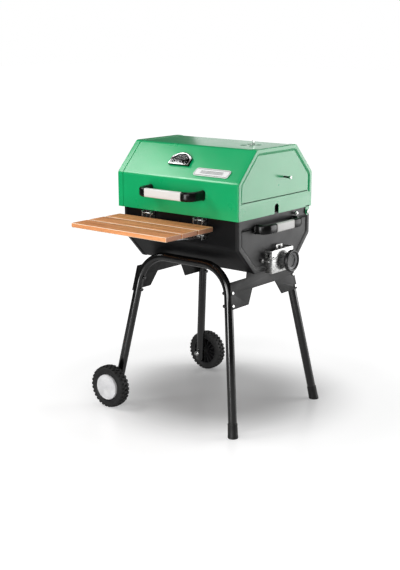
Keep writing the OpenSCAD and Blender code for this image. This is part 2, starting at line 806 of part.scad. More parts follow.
module bowl_bolts() {
    color([0.8, 0.8, 0.8])
    for (p = bowl_bolt_places()) translate([p[0], p[1], 0]) union() {
        translate([0, 0, bowl_floor_z - bracket_t - 6]) cylinder(h = 16, r = 3.1);
        translate([0, 0, bowl_floor_z - bracket_t - 5.2]) cylinder(h = 5, r = 6);
        translate([0, 0, bowl_floor_z + 2 * sheet + 2 * fit_gap]) cylinder(h = 3, r = 6);
    }
}

module foot_caps() {
    color([0.06, 0.06, 0.06])
    for (s = [-1, 1]) scale_y(s) intersection() {
        translate([foot_x, -foot_y, 0]) rotate([-lean_y_deg, 0, 0]) rotate([0, -leg_deg, 0])
            difference() {
                translate([0, 0, -15]) cylinder(h = 67, r = tube_r + 3);
                translate([0, 0, 6]) cylinder(h = 50, r = tube_r + 0.05);
            }
        box(200, 400, -350, -200, 0, 80);
    }
}

// ---- wheels ----

module on_wheel(s) { scale_y(s) translate([wheel_x, -wheel_in_y, wheel_r]) rotate([90, 0, 0]) children(); }

// Bolt with its head under the hubcap, a spacer washer and a nut on the inner side of the leg.
module axle_bolts() {
    color([0.8, 0.8, 0.78])
    for (s = [-1, 1]) on_wheel(s) union() {
        translate([0, 0, -tube_d - 26]) cylinder(h = tube_d + 26 + wheel_w - 7, r = axle_r - 0.05);
        translate([0, 0, wheel_w - 8]) cylinder(h = 5, r = 10);
        translate([0, 0, -6]) cylinder(h = 5.5, r = 10);
        translate([0, 0, -tube_d - 21]) cylinder(h = 9, r = 10, $fn = 6);
    }
}

module tyre(s) {
    on_wheel(s) rotate_extrude($fn = 128)
        polygon([[58, 3], [70, 1], [76, 3], [wheel_r, 8], [wheel_r, wheel_w - 8],
                 [76, wheel_w - 3], [70, wheel_w - 1], [58, wheel_w - 3]]);
}

module rim(s) {
    on_wheel(s) difference() {
        union() {
            translate([0, 0, wheel_w - 13]) cylinder(h = 4, r = 56);
            difference() {
                translate([0, 0, 4]) cylinder(h = wheel_w - 8, r = 57.8);
                translate([0, 0, 0]) cylinder(h = wheel_w, r = 54.5);
            }
            cylinder(h = wheel_w - 10, r = 14);
            for (i = [0 : 15])
                rotate([0, 0, i * 22.5]) translate([12, -1.25, 8]) cube([43.5, 2.5, wheel_w - 18]);
        }
        translate([0, 0, -1]) cylinder(h = wheel_w + 2, r = axle_r + running);
        translate([0, 0, wheel_w - 9]) cylinder(h = 10, r = 20);
    }
}

module hubcap(s) {
    on_wheel(s) difference() {
        union() {
            translate([0, 0, wheel_w - 9]) cylinder(h = 11, r = 49.5);
            translate([0, 0, wheel_w + 2]) cylinder(h = 2, r = 42.5);
        }
        translate([0, 0, wheel_w - 10]) cylinder(h = 11, r = 47.5);
    }
}

module wheel_front_tyre() { color([0.09, 0.09, 0.09]) tyre(1); }
module wheel_front_rim() { color([0.12, 0.12, 0.12]) rim(1); }
module wheel_front_hubcap() { color([0.8, 0.8, 0.8]) hubcap(1); }
module wheel_rear_tyre() { color([0.09, 0.09, 0.09]) tyre(-1); }
module wheel_rear_rim() { color([0.12, 0.12, 0.12]) rim(-1); }
module wheel_rear_hubcap() { color([0.8, 0.8, 0.8]) hubcap(-1); }

// ---- shelf ----

// Channel brackets on the bowl's front wall, with two ears each for the shelf's hinge pin.
module shelf_hinge_brackets() {
    wall_y = -bowl_half - fit_gap + 0.1;
    color([0.78, 0.78, 0.76])
    for (x = hinge_x) difference() {
        union() {
            box(x - ear_half - 4, x + ear_half + 4, wall_y - 2, wall_y, 704, 780);
            for (s = [-1, 1]) box(x + s * ear_half - 1.25, x + s * ear_half + 1.25, -246.5, wall_y, 704, 781);
        }
        rod_x(x - 40, x + 40, shelf_pivot[0], shelf_pivot[1], 3.05);
        rod_x(x - 40, x + 40, lock_bolt[0], lock_bolt[1], 2.55);
    }
}

// Bolt across both ears of a bracket, with a head and a nut.
module ear_bolt(x, place, r, head_r) {
    union() {
        rod_x(x - ear_half - 5, x + ear_half + 5, place[0], place[1], r);
        for (s = [-1, 1]) let (mid = x + s * (ear_half + 3.8))
            rod_x(mid - 2, mid + 2, place[0], place[1], head_r);
    }
}

module shelf_hinge_pins() {
    color([0.82, 0.82, 0.8])
    for (x = hinge_x) {
        ear_bolt(x, shelf_pivot, 3, 5.5);
        ear_bolt(x, lock_bolt, 2.5, 4.8);
    }
}

// Pair of steel arms at each hinge: ears on the pivot and a flat strip under the boards.
module shelf_arms() {
    under_z = shelf_z - board_t - fit_gap;
    color([0.7, 0.7, 0.7])
    for (x = hinge_x) difference() {
        union() {
            box(x - arm_half, x + arm_half, shelf_front_y + 12, shelf_back_y - 1, under_z - 2.5, under_z);
            for (s = [-1, 1])
                translate([x + s * (arm_half - 1.25) - 1.25, 0, 0]) along_x(0, 2.5) polygon([
                    [shelf_pivot[0] + 7, shelf_pivot[1] - 7], [shelf_pivot[0] + 7, shelf_pivot[1] + 9],
                    [shelf_back_y - 1, under_z], [shelf_front_y + 40, under_z],
                    [shelf_front_y + 40, under_z - 8], [shelf_back_y - 60, shelf_pivot[1] - 5],
                    [shelf_pivot[0] - 4, shelf_pivot[1] - 10]]);
        }
        rod_x(x - 40, x + 40, shelf_pivot[0], shelf_pivot[1], 3.05);
        for (y = shelf_screw_rows()) translate([x, y, under_z - 10]) cylinder(h = 20, r = 2.3);
    }
}

function shelf_screw_rows() = [for (i = [0 : 2]) shelf_back_y - board_w / 2 - i * shelf_step];

module shelf_screws() {
    under_z = shelf_z - board_t - fit_gap;
    color([0.8, 0.8, 0.8])
    for (x = hinge_x, y = shelf_screw_rows()) translate([x, y, 0]) union() {
        translate([0, 0, under_z - 3]) cylinder(h = 14, r = 2.2);
        translate([0, 0, under_z - 5.2]) cylinder(h = 2.6, r = 4.5);
    }
}

module board(i) {
    y1 = shelf_back_y - i * shelf_step;
    color([0.78, 0.48, 0.26])
    difference() {
        box(shelf_x0, shelf_x0 + shelf_len, y1 - board_w, y1, shelf_z - board_t, shelf_z);
        for (x = hinge_x) translate([x, y1 - board_w / 2, shelf_z - board_t - 1]) cylinder(h = 12.3, r = 2.3);
    }
}

module shelf_board_inner() { board(0); }
module shelf_board_middle() { board(1); }
module shelf_board_outer() { board(2); }

placed() bowl_shell();
placed() bowl_end_left();
placed() bowl_end_right();
placed() grate_ledges();
placed() lid_stop_bolts();
placed() side_handle_grip_left();
placed() side_handle_grip_right();
placed() side_handle_ends();
placed() lift_housing();
placed() housing_screws();
placed() shaft_bush();
placed() leg_loop_front();
placed() leg_loop_rear();
placed() side_bracket_left();
placed() side_bracket_right();
placed() bracket_bolts();
placed() bowl_bolts();
placed() foot_caps();
placed() axle_bolts();
placed() shelf_hinge_brackets();
placed() shelf_hinge_pins();
placed() cooking_grate_left();
placed() cooking_grate_right();
placed() lift_rack();
placed() tray_carrier();
placed() charcoal_tray();
placed() pinion_shaft();
placed() handwheel_rim();
placed() handwheel_hub();
placed() latch_wire();
placed() latch_nut();
placed() hood_shell();
placed() hood_cap_left();
placed() hood_cap_right();
placed() lid_hinge_pins();
placed() lid_handle_grip();
placed() lid_handle_ends();
placed() thermometer_bezel();
placed() thermometer_dial();
placed() thermometer_lens();
placed() thermometer_stem();
placed() thermometer_needle();
placed() name_plate();
placed() rack_studs();
placed() warming_rack();
placed() vent_damper();
placed() vent_tab();
placed() vent_rivet();
placed() shelf_board_inner();
placed() shelf_board_middle();
placed() shelf_board_outer();
placed() shelf_arms();
placed() shelf_screws();
placed() wheel_front_tyre();
placed() wheel_front_rim();
placed() wheel_front_hubcap();
placed() wheel_rear_tyre();
placed() wheel_rear_rim();
placed() wheel_rear_hubcap();
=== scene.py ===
"""Charcoal grill: detailed pieces and finishes around the fixed CAD frame."""

import math

import bmesh
import bpy
from mathutils import Matrix, Vector


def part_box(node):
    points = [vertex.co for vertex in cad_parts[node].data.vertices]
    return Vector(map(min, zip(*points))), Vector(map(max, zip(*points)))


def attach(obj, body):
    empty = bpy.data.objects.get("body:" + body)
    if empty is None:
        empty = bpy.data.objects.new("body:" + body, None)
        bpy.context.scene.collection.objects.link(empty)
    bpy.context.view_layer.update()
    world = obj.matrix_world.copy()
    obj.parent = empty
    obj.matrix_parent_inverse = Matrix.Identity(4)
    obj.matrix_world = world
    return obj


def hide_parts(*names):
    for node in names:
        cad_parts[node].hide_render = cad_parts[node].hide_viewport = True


bl_info = {
    "name": "Charcoal Grill",
    "version": (1, 0, 0),
    "blender": (4, 5, 0),
    "location": "View3D > Sidebar > Grill",
    "description": "Builds the visible pieces of a charcoal grill around its frame",
    "category": "Add Mesh",
}

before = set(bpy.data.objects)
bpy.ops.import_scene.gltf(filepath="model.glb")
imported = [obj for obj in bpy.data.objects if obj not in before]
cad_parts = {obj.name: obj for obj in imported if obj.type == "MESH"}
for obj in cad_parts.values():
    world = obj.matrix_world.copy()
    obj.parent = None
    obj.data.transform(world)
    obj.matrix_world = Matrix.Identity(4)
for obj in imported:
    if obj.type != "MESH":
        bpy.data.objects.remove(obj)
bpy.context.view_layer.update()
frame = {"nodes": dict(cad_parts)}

CAP_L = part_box("hood_cap_left")
CAP_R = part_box("hood_cap_right")
END_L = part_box("bowl_end_left")
END_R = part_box("bowl_end_right")
MID = Vector(((CAP_L[0].x + CAP_R[1].x) / 2, (CAP_R[0].y + CAP_R[1].y) / 2, 0))
HOOD_HALF = (CAP_R[1].y - CAP_R[0].y) / 2
HOOD_TOP = CAP_R[1].z
HOOD_BASE = 0.782
HOOD_BEND = 0.913
HOOD_FLAT = 0.123
BOWL_HALF = (END_R[1].y - END_R[0].y) / 2
BOWL_FLOOR = END_R[0].z
BOWL_RIM = END_R[1].z
BOWL_BEND = 0.679
BOWL_FLAT = 0.126
SLOPE = math.atan2(HOOD_TOP - HOOD_BEND, HOOD_HALF - HOOD_FLAT)
LEAN_X = 0.157
LEAN_Y = 0.145
FOOT = Vector((0.293, 0.266, 0))
LOOP_TOP = 0.600
LOOP_BEND = 0.125
TUBE_R = 0.016
GAUGE_ROUND = 0.62
PAN_SMOOTH = 12.5
SLOT_HALF = 0.013
SLOT_TOP = HOOD_BASE + 0.037
PIN_Y = 0.203
PIN_Z = 0.762
EAR_R = 0.012
EAR_HOLE_R = 0.0042
VENT_X = 0.168
VENT_RING_R = 0.028
VENT_HOLE_R = 0.012
PANEL_MARGIN = 0.024
PANEL_SLOPE = 0.011
PANEL_CORNER = 0.009
HOOD_PANEL_Z = 0.843
BOWL_PANEL_Z = 0.742
CAP_LAP = 0.0062
FIT_GAP = 0.0003
HANDLE_THICK = 0.017
HANDLE_TALL = 0.031
ALONG_X = (0, math.pi / 2, 0)
PLAIN = (1, 1, 1)
UP = Vector((0, 0, 1))


class GrillSizes(bpy.types.PropertyGroup):
    """Sizes of the details that the frame leaves open."""

    sheet: bpy.props.FloatProperty(
        name="Sheet", description="Thickness of the sheet steel", default=0.0015, unit="LENGTH")
    bend: bpy.props.FloatProperty(
        name="Bend", description="Width of the rounded bends", default=0.0075, unit="LENGTH")
    rim: bpy.props.FloatProperty(
        name="Rim", description="Rounding of the pressed ends' outer edge", default=0.0030, unit="LENGTH")
    press: bpy.props.FloatProperty(
        name="Press", description="Depth of the pressed panels", default=0.0035, unit="LENGTH")
    board_edge: bpy.props.FloatProperty(
        name="Board edge", description="Rounding of the shelf boards", default=0.0032, unit="LENGTH")
    lugs: bpy.props.IntProperty(
        name="Lugs", description="Tread lugs around one shoulder of a tyre", default=30, min=12)
    tube_sides: bpy.props.IntProperty(
        name="Tube sides", description="Sides of the leg tube's section", default=40, min=12)


class GrillColours(bpy.types.PropertyGroup):
    """Base colours of the finishes."""

    hood: bpy.props.FloatVectorProperty(
        name="Hood", description="Green enamel", subtype="COLOR", size=3, default=(0.002, 0.42, 0.140))
    bowl: bpy.props.FloatVectorProperty(
        name="Bowl", description="Black enamel", subtype="COLOR", size=3,
        default=(0.003, 0.003, 0.0035))
    frame: bpy.props.FloatVectorProperty(
        name="Frame", description="Black powder coat", subtype="COLOR", size=3, default=(0.002, 0.002, 0.002))
    bracket: bpy.props.FloatVectorProperty(
        name="Bracket", description="Satin black plate", subtype="COLOR", size=3,
        default=(0.010, 0.010, 0.010))
    zinc: bpy.props.FloatVectorProperty(
        name="Zinc", description="Zinc-plated steel", subtype="COLOR", size=3, default=(0.60, 0.60, 0.59))
    grip: bpy.props.FloatVectorProperty(
        name="Grip", description="White coat on the grips", subtype="COLOR", size=3,
        default=(0.80, 0.79, 0.77))
    wood: bpy.props.FloatVectorProperty(
        name="Wood", description="Oiled hardwood", subtype="COLOR", size=3, default=(0.88, 0.37, 0.155))
    rubber: bpy.props.FloatVectorProperty(
        name="Rubber", description="Tyres and foot caps", subtype="COLOR", size=3,
        default=(0.010, 0.010, 0.010))


def sizes():
    return bpy.context.scene.grill_sizes


def colours():
    return bpy.context.scene.grill_colours


def at(x, y, z):
    """A place given from the middle of the hood, in metres, with z above the floor."""
    return MID + Vector((x, y, z))


# ---- modelling helpers ----


def clear_selection():
    if bpy.context.mode != "OBJECT":
        bpy.ops.object.mode_set(mode="OBJECT")
    bpy.ops.object.select_all(action="DESELECT")


def take(piece):
    """Makes a piece the only one selected, and the active one."""
    clear_selection()
    piece.select_set(True)
    bpy.context.view_layer.objects.active = piece


def added(name):
    """Names the primitive that was just added and puts its place in its mesh."""
    piece = bpy.context.active_object
    piece.name = name
    piece.data.name = name
    bpy.ops.object.transform_apply(location=True, rotation=True, scale=True)
    return piece


def block(name, low, high):
    """A box between two corners, as the start of a piece."""
    clear_selection()
    low, high = Vector(low), Vector(high)
    bpy.ops.mesh.primitive_cube_add(size=1, location=(low + high) / 2, scale=high - low)
    return added(name)


def rod(name, place, radius, length, sides=48, rotation=(0, 0, 0)):
    """A cylinder about its middle, as the start of a piece or as a cutter."""
    clear_selection()
    bpy.ops.mesh.primitive_cylinder_add(vertices=sides, radius=radius, depth=length, location=place,
                                        rotation=rotation)
    return added(name)


def edit(piece):
    take(piece)
    bpy.ops.object.mode_set(mode="EDIT")


def leave():
    bpy.ops.object.mode_set(mode="OBJECT")


def pick(kind, test):
    """In edit mode, selects the vertices, edges or faces for which the test holds."""
    data = bpy.context.edit_object.data
    bpy.ops.mesh.select_mode(type=kind)
    bpy.ops.mesh.select_all(action="DESELECT")
    mesh = bmesh.from_edit_mesh(data)
    items = {"VERT": mesh.verts, "EDGE": mesh.edges, "FACE": mesh.faces}[kind]
    for item in items:
        if test(item):
            item.select_set(True)
    mesh.select_flush_mode()
    bmesh.update_edit_mesh(data)


def edge_line(edge):
    return (edge.verts[1].co - edge.verts[0].co).normalized()


def edge_middle(edge):
    return (edge.verts[0].co + edge.verts[1].co) / 2


def cut(point, normal, fill=True, clear=True):
    """Cuts what is selected with a plane and drops the side the normal points to."""
    bpy.ops.mesh.bisect(plane_co=point, plane_no=normal, use_fill=fill, clear_outer=clear)


def outward():
    bpy.ops.mesh.select_all(action="SELECT")
    bpy.ops.mesh.remove_doubles(threshold=0.00001)
    bpy.ops.mesh.normals_make_consistent(inside=False)


def apply_modifier(piece, kind, **values):
    take(piece)
    modifier = piece.modifiers.new(kind.title(), kind)
    for key, value in values.items():
        setattr(modifier, key, value)
    bpy.ops.object.modifier_apply(modifier=modifier.name)


def soften(piece, width, segments=2, angle=32):
    """Rounds the sharp edges."""
    apply_modifier(piece, "BEVEL", width=width, segments=segments, limit_method="ANGLE",
                   angle_limit=math.radians(angle), harden_normals=False)


def subtract(piece, other, operation="DIFFERENCE"):
    apply_modifier(piece, "BOOLEAN", object=other, operation=operation, solver="EXACT")
    bpy.data.objects.remove(other)


def two_tone(piece, first, second, test):
    """Gives the faces that pass the test the second finish, and the others the first."""
    if not piece.data.materials:
        piece.data.materials.append(first)
    piece.data.materials.append(second)
    for face in piece.data.polygons:
        face.material_index = 1 if test(face) else 0


def facing(direction):
    """Turns Z to a direction."""
    return UP.rotation_difference(Vector(direction)).to_matrix().to_4x4()


def smooth(piece, angle=32):
    take(piece)
    bpy.ops.object.shade_smooth_by_angle(angle=math.radians(angle))


def join(name, pieces):
    clear_selection()
    for piece in pieces:
        piece.select_set(True)
    bpy.context.view_layer.objects.active = pieces[0]
    if len(pieces) > 1:
        bpy.ops.object.join()
    pieces[0].name = name
    pieces[0].data.name = name
    return pieces[0]


def copied(piece, name):
    take(piece)
    bpy.ops.object.duplicate(linked=False)
    twin = bpy.context.active_object
    twin.name = name
    twin.data.name = name
    return twin


def moved(piece, matrix):
    """Moves a piece and puts the move in its mesh."""
    take(piece)
    piece.matrix_world = matrix @ piece.matrix_world
    bpy.ops.object.transform_apply(location=True, rotation=True, scale=True)
    if matrix.determinant() < 0:
        edit(piece)
        outward()
        leave()
    return piece


def flipped(piece, name, axis, about):
    """A mirrored copy across the plane axis = about."""
    factors = [1.0, 1.0, 1.0]
    factors[axis] = -1.0
    shift = Vector((0, 0, 0))
    shift[axis] = 2 * about
    return moved(copied(piece, name), Matrix.Translation(shift) @ Matrix.Diagonal((*factors, 1.0)))


def done(piece, material, body, *nodes, angle=32, slot=None):
    """Gives a finished piece its material and its body, and hides the CAD nodes it stands for."""
    if not piece.data.materials:
        piece.data.materials.append(material)
    smooth(piece, angle)
    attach(piece, body)
    if nodes:
        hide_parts(*nodes)
    return piece


def refined(node, name, material, body, width=0.0004, segments=2, angle=32):
    """A copy of a CAD node's mesh, merged and with rounded edges, that stands for the node."""
    clear_selection()
    mesh = frame["nodes"][node].data.copy()
    mesh.materials.clear()
    piece = bpy.data.objects.new(name, mesh)
    bpy.context.scene.collection.objects.link(piece)
    edit(piece)
    outward()
    bpy.ops.mesh.dissolve_limited(angle_limit=math.radians(1.0))
    leave()
    if width:
        soften(piece, width, segments, angle)
    return done(piece, material, body, node, angle=angle)


def run_edges(vector):
    bpy.ops.mesh.extrude_region_move(TRANSFORM_OT_translate={"value": Vector(vector)})


def turned(name, stations, sides, place, direction, closed=False):
    """A lathe shape: rings of the given radius and height, drawn up one after another."""
    clear_selection()
    radius, height = stations[0]
    bpy.ops.mesh.primitive_circle_add(vertices=sides, radius=radius, location=(0, 0, height))
    piece = added(name)
    edit(piece)
    bpy.ops.mesh.select_all(action="SELECT")
    last = radius, height
    for radius, height in list(stations[1:]) + ([stations[0]] if closed else []):
        run_edges((0, 0, height - last[1]))
        factor = radius / last[0]
        bpy.ops.transform.resize(value=(factor, factor, 1), center_override=(0, 0, 0))
        last = radius, height
    if not closed:
        bpy.ops.mesh.select_all(action="SELECT")
        bpy.ops.mesh.fill_holes(sides=0)
    outward()
    leave()
    return moved(piece, Matrix.Translation(Vector(place)) @ facing(direction))


def spin_edges(angle, centre, axis, steps):
    """Sweeps the selected edges around a right-handed axis."""
    bpy.ops.mesh.spin(steps=steps, angle=-angle, center=centre, axis=axis, dupli=False)


def close_ends():
    bpy.ops.mesh.select_all(action="SELECT")
    bpy.ops.mesh.fill_holes(sides=0)
    outward()


def around(piece, count, place, axis):
    """Copies a piece evenly around an axis and joins the copies."""
    copies = [piece]
    for i in range(1, count):
        turn = Matrix.Rotation(math.tau * i / count, 4, Vector(axis))
        about = Matrix.Translation(Vector(place)) @ turn @ Matrix.Translation(-Vector(place))
        copies.append(moved(copied(piece, piece.name), about))
    return join(piece.name, copies)


# ---- node groups ----


def new_group(name, inputs, outputs):
    """An empty shader group with float or vector inputs and float outputs."""
    group = bpy.data.node_groups.new(name, "ShaderNodeTree")
    for label, kind, default in inputs:
        socket = group.interface.new_socket(label, in_out="INPUT", socket_type=kind)
        socket.default_value = default
    for label in outputs:
        group.interface.new_socket(label, in_out="OUTPUT", socket_type="NodeSocketFloat")
    start = group.nodes.new("NodeGroupInput")
    end = group.nodes.new("NodeGroupOutput")
    return group, start, end


def node(tree, kind, **values):
    made = tree.nodes.new(kind)
    for key, value in values.items():
        setattr(made, key, value)
    return made


def stretched(tree, start):
    """Object coordinates multiplied by the group's Stretch input."""
    coords = node(tree, "ShaderNodeTexCoord")
    scale = node(tree, "ShaderNodeVectorMath", operation="MULTIPLY")
    tree.links.new(coords.outputs["Object"], scale.inputs[0])
    tree.links.new(start.outputs["Stretch"], scale.inputs[1])
    return scale.outputs[0]


def grain_group():
    """Noise between two values, stretched along any axis: skin, speckle, brushing or smudges."""
    if "grain" in bpy.data.node_groups:
        return bpy.data.node_groups["grain"]
    group, start, end = new_group("grain", [
        ("Stretch", "NodeSocketVector", (1, 1, 1)), ("Scale", "NodeSocketFloat", 50),
        ("Detail", "NodeSocketFloat", 3), ("Low", "NodeSocketFloat", 0),
        ("High", "NodeSocketFloat", 1)], ["Value"])
    noise = node(group, "ShaderNodeTexNoise")
    span = node(group, "ShaderNodeMapRange")
    span.inputs["From Min"].default_value = 0.3
    span.inputs["From Max"].default_value = 0.7
    group.links.new(stretched(group, start), noise.inputs["Vector"])
    group.links.new(start.outputs["Scale"], noise.inputs["Scale"])
    group.links.new(start.outputs["Detail"], noise.inputs["Detail"])
    group.links.new(noise.outputs["Fac"], span.inputs["Value"])
    group.links.new(start.outputs["Low"], span.inputs["To Min"])
    group.links.new(start.outputs["High"], span.inputs["To Max"])
    group.links.new(span.outputs[0], end.inputs["Value"])
    return group


def wood_group():
    """Long figure and fine pores of a sawn board whose length runs along X."""
    if "wood_figure" in bpy.data.node_groups:
        return bpy.data.node_groups["wood_figure"]
    group, start, end = new_group("wood_figure", [
        ("Stretch", "NodeSocketVector", (1, 1, 1)), ("Bands", "NodeSocketFloat", 20),
        ("Warp", "NodeSocketFloat", 4)], ["Figure", "Pores"])
    vector = stretched(group, start)
    wave = node(group, "ShaderNodeTexWave", wave_type="BANDS", bands_direction="Y", wave_profile="SAW")
    wave.inputs["Detail"].default_value = 4
    wave.inputs["Detail Scale"].default_value = 1.6
    slow = node(group, "ShaderNodeTexNoise")
    slow.inputs["Scale"].default_value = 7
    slow.inputs["Detail"].default_value = 5
    fine = node(group, "ShaderNodeTexNoise")
    fine.inputs["Scale"].default_value = 95
    fine.inputs["Detail"].default_value = 6
    mix = node(group, "ShaderNodeMath", operation="MULTIPLY_ADD")
    mix.inputs[1].default_value = 0.42
    for texture in (wave, slow, fine):
        group.links.new(vector, texture.inputs["Vector"])
    group.links.new(start.outputs["Bands"], wave.inputs["Scale"])
    group.links.new(start.outputs["Warp"], wave.inputs["Distortion"])
    group.links.new(wave.outputs["Fac"], mix.inputs[0])
    half = node(group, "ShaderNodeMath", operation="MULTIPLY")
    half.inputs[1].default_value = 0.6
    group.links.new(slow.outputs["Fac"], half.inputs[0])
    group.links.new(half.outputs[0], mix.inputs[2])
    group.links.new(mix.outputs[0], end.inputs["Figure"])
    group.links.new(fine.outputs["Fac"], end.inputs["Pores"])
    return group


def use(tree, group, **values):
    """Places a group in a material with its own values."""
    placed = tree.nodes.new("ShaderNodeGroup")
    placed.node_tree = group
    for label, value in values.items():
        placed.inputs[label.title()].default_value = value
    return placed


# ---- materials ----


def shader(name, colour, roughness, metallic=0.0, **sockets):
    """A new material with its node tree and its Principled shader."""
    material = bpy.data.materials.new(name)
    material.use_nodes = True
    bsdf = material.node_tree.nodes["Principled BSDF"]
    bsdf.inputs["Base Color"].default_value = (*colour, 1)
    bsdf.inputs["Roughness"].default_value = roughness
    bsdf.inputs["Metallic"].default_value = metallic
    for label, value in sockets.items():
        bsdf.inputs[label.replace("_", " ")].default_value = value
    return material, material.node_tree, bsdf


def rough_between(tree, bsdf, low, high, scale, stretch=PLAIN):
    """Roughness that wanders between two values."""
    grain = use(tree, grain_group(), stretch=stretch, scale=scale, detail=3, low=low, high=high)
    tree.links.new(grain.outputs["Value"], bsdf.inputs["Roughness"])


def bumped(tree, bsdf, height, distance, strength=0.6):
    bump = node(tree, "ShaderNodeBump")
    bump.inputs["Distance"].default_value = distance
    bump.inputs["Strength"].default_value = strength
    tree.links.new(height, bump.inputs["Height"])
    tree.links.new(bump.outputs["Normal"], bsdf.inputs["Normal"])


def relief(tree, bsdf, distance, *layers):
    """Bump from one or two layers of grain, each (scale, stretch, weight)."""
    total = None
    for scale, stretch, weight in layers:
        grain = use(tree, grain_group(), stretch=stretch, scale=scale, detail=4, low=0.0, high=weight)
        if total is None:
            total = grain.outputs["Value"]
            continue
        add = node(tree, "ShaderNodeMath", operation="ADD")
        tree.links.new(total, add.inputs[0])
        tree.links.new(grain.outputs["Value"], add.inputs[1])
        total = add.outputs[0]
    bumped(tree, bsdf, total, distance)


def blended(tree, bsdf, dark, light, factor):
    """Base colour between two tones, by a factor from another node."""
    mix = node(tree, "ShaderNodeMix", data_type="RGBA")
    mix.inputs[6].default_value = (*dark, 1)
    mix.inputs[7].default_value = (*light, 1)
    tree.links.new(factor, mix.inputs[0])
    tree.links.new(mix.outputs[2], bsdf.inputs["Base Color"])


def tinted(tree, bsdf, dark, light, scale, stretch=PLAIN):
    """Base colour that wanders between two tones."""
    grain = use(tree, grain_group(), stretch=stretch, scale=scale, detail=4)
    blended(tree, bsdf, dark, light, grain.outputs["Value"])


def ramp(tree, stops):
    """A colour ramp with its stops, each (place, colour)."""
    made_ramp = node(tree, "ShaderNodeValToRGB")
    elements = made_ramp.color_ramp.elements
    while len(elements) < len(stops):
        elements.new(0.5)
    for element, (place, colour) in zip(elements, stops):
        element.position = place
        element.color = (*colour, 1)
    return made_ramp


def shade(colour, factor):
    return tuple(min(c * factor, 1) for c in colour)


def made(name, build, *values, **named):
    """The finish of that name, built the first time it is asked for."""
    name += "_finish"
    return bpy.data.materials.get(name) or build(name, *values, **named)


def enamel(name, colour, low, high, coat, skin=0.00012, sheen=0.5):
    material, tree, bsdf = shader(name, colour, low, Coat_Weight=coat, Coat_Roughness=0.18,
                                  Specular_IOR_Level=sheen)
    tinted(tree, bsdf, shade(colour, 0.93), shade(colour, 1.05), 5)
    rough_between(tree, bsdf, low, high, 14)
    relief(tree, bsdf, skin, (420, PLAIN, 0.7), (60, PLAIN, 0.5))
    return material


def hood_enamel():
    return made("hood_enamel", enamel, colours().hood, 0.27, 0.34, 0.6)


def bowl_enamel():
    return made("bowl_enamel", enamel, colours().bowl, 0.36, 0.46, 0.0, sheen=0.45)


def bowl_sheet_enamel():
    return made("bowl_sheet_enamel", enamel, colours().bowl, 0.32, 0.42, 0.0, sheen=0.2)


def frame_coat():
    return made("frame_coat", enamel, colours().frame, 0.10, 0.14, 0.0, 0.00003, sheen=0.9)


def bracket_coat():
    return made("bracket_coat", enamel, colours().bracket, 0.42, 0.52, 0.0, 0.0002, sheen=0.3)


def metal(name, tones, tone_scale, rough, rough_scale, bump, bump_scale, brushed=PLAIN, metallic=1.0):
    """Bare or plated metal: two tones, two roughnesses and a fine relief, brushed along an axis."""
    dark, light = tones
    material, tree, bsdf = shader(name, light, rough[0], metallic)
    tinted(tree, bsdf, dark, light, tone_scale)
    rough_between(tree, bsdf, *rough, rough_scale, brushed)
    if bump:
        relief(tree, bsdf, bump, (bump_scale, brushed, 1.0))
    return material


def zinc_plate():
    def build(name):
        colour = colours().zinc
        material, tree, bsdf = shader(name, colour, 0.3, 1.0)
        tinted(tree, bsdf, shade(colour, 0.94), shade(colour, 1.06), 60)
        rough_between(tree, bsdf, 0.22, 0.34, 90, (1, 1, 4))
        relief(tree, bsdf, 0.00006, (260, (1, 1, 5), 1.0))
        return material
    return made("zinc_plate", build)


def bright_chrome():
    return made("bright_chrome", metal, ((0.78, 0.78, 0.79), (0.90, 0.90, 0.90)), 30, (0.10, 0.22), 40,
                0.00002, 200)


def grate_wire():
    return made("grate_wire", metal, ((0.42, 0.40, 0.37), (0.70, 0.70, 0.68)), 16, (0.22, 0.45), 30,
                0.00005, 300)


def hot_steel():
    return made("hot_steel", metal, ((0.055, 0.055, 0.06), (0.15, 0.14, 0.14)), 12, (0.45, 0.7), 25,
                0.0002, 180, metallic=0.8)


def grip_coat():
    def build(name):
        colour = colours().grip
        material, tree, bsdf = shader(name, colour, 0.4, Coat_Weight=0.1)
        tinted(tree, bsdf, shade(colour, 0.95), shade(colour, 1.03), 20)
        rough_between(tree, bsdf, 0.34, 0.46, 30, (1, 8, 8))
        relief(tree, bsdf, 0.00008, (500, PLAIN, 1.0))
        return material
    return made("grip_coat", build)


def moulded(name, colour, low, high, bump=0.00015, scale=650, sheen=0.5):
    material, tree, bsdf = shader(name, colour, low, Specular_IOR_Level=sheen)
    tinted(tree, bsdf, shade(colour, 0.85), shade(colour, 1.15), 30)
    rough_between(tree, bsdf, low, high, 60)
    relief(tree, bsdf, bump, (scale, PLAIN, 1.0))
    return material


def handle_black():
    return made("handle_black", moulded, (0.004, 0.004, 0.004), 0.16, 0.26, 0.00006, sheen=0.3)


def knob_black():
    return made("knob_black", moulded, (0.010, 0.010, 0.011), 0.22, 0.34, 0.00006)


def knob_grey():
    return made("knob_grey", moulded, (0.30, 0.30, 0.31), 0.30, 0.42)


def wheel_plastic():
    return made("wheel_plastic", moulded, (0.013, 0.013, 0.014), 0.40, 0.55)


def hubcap_grey():
    return made("hubcap_grey", moulded, (0.76, 0.76, 0.77), 0.34, 0.46, 0.00008)


def tyre_rubber():
    return made("tyre_rubber", moulded, colours().rubber, 0.55, 0.75, 0.0003, 420)


def foot_rubber():
    return made("foot_rubber", moulded, shade(colours().rubber, 0.8), 0.45, 0.6, 0.0002)


def bush_brass():
    return made("bush_brass", metal, ((0.50, 0.34, 0.14), (0.66, 0.48, 0.22)), 60, (0.25, 0.45), 80, 0, 0)


def dial_face():
    return made("dial_face", moulded, (0.010, 0.010, 0.010), 0.5, 0.6, 0.00004)


def dial_marks():
    return made("dial_marks", moulded, (0.78, 0.78, 0.76), 0.5, 0.6, 0.00002)


def needle_red():
    return made("needle_red", moulded, (0.62, 0.05, 0.02), 0.35, 0.45, 0.00002)


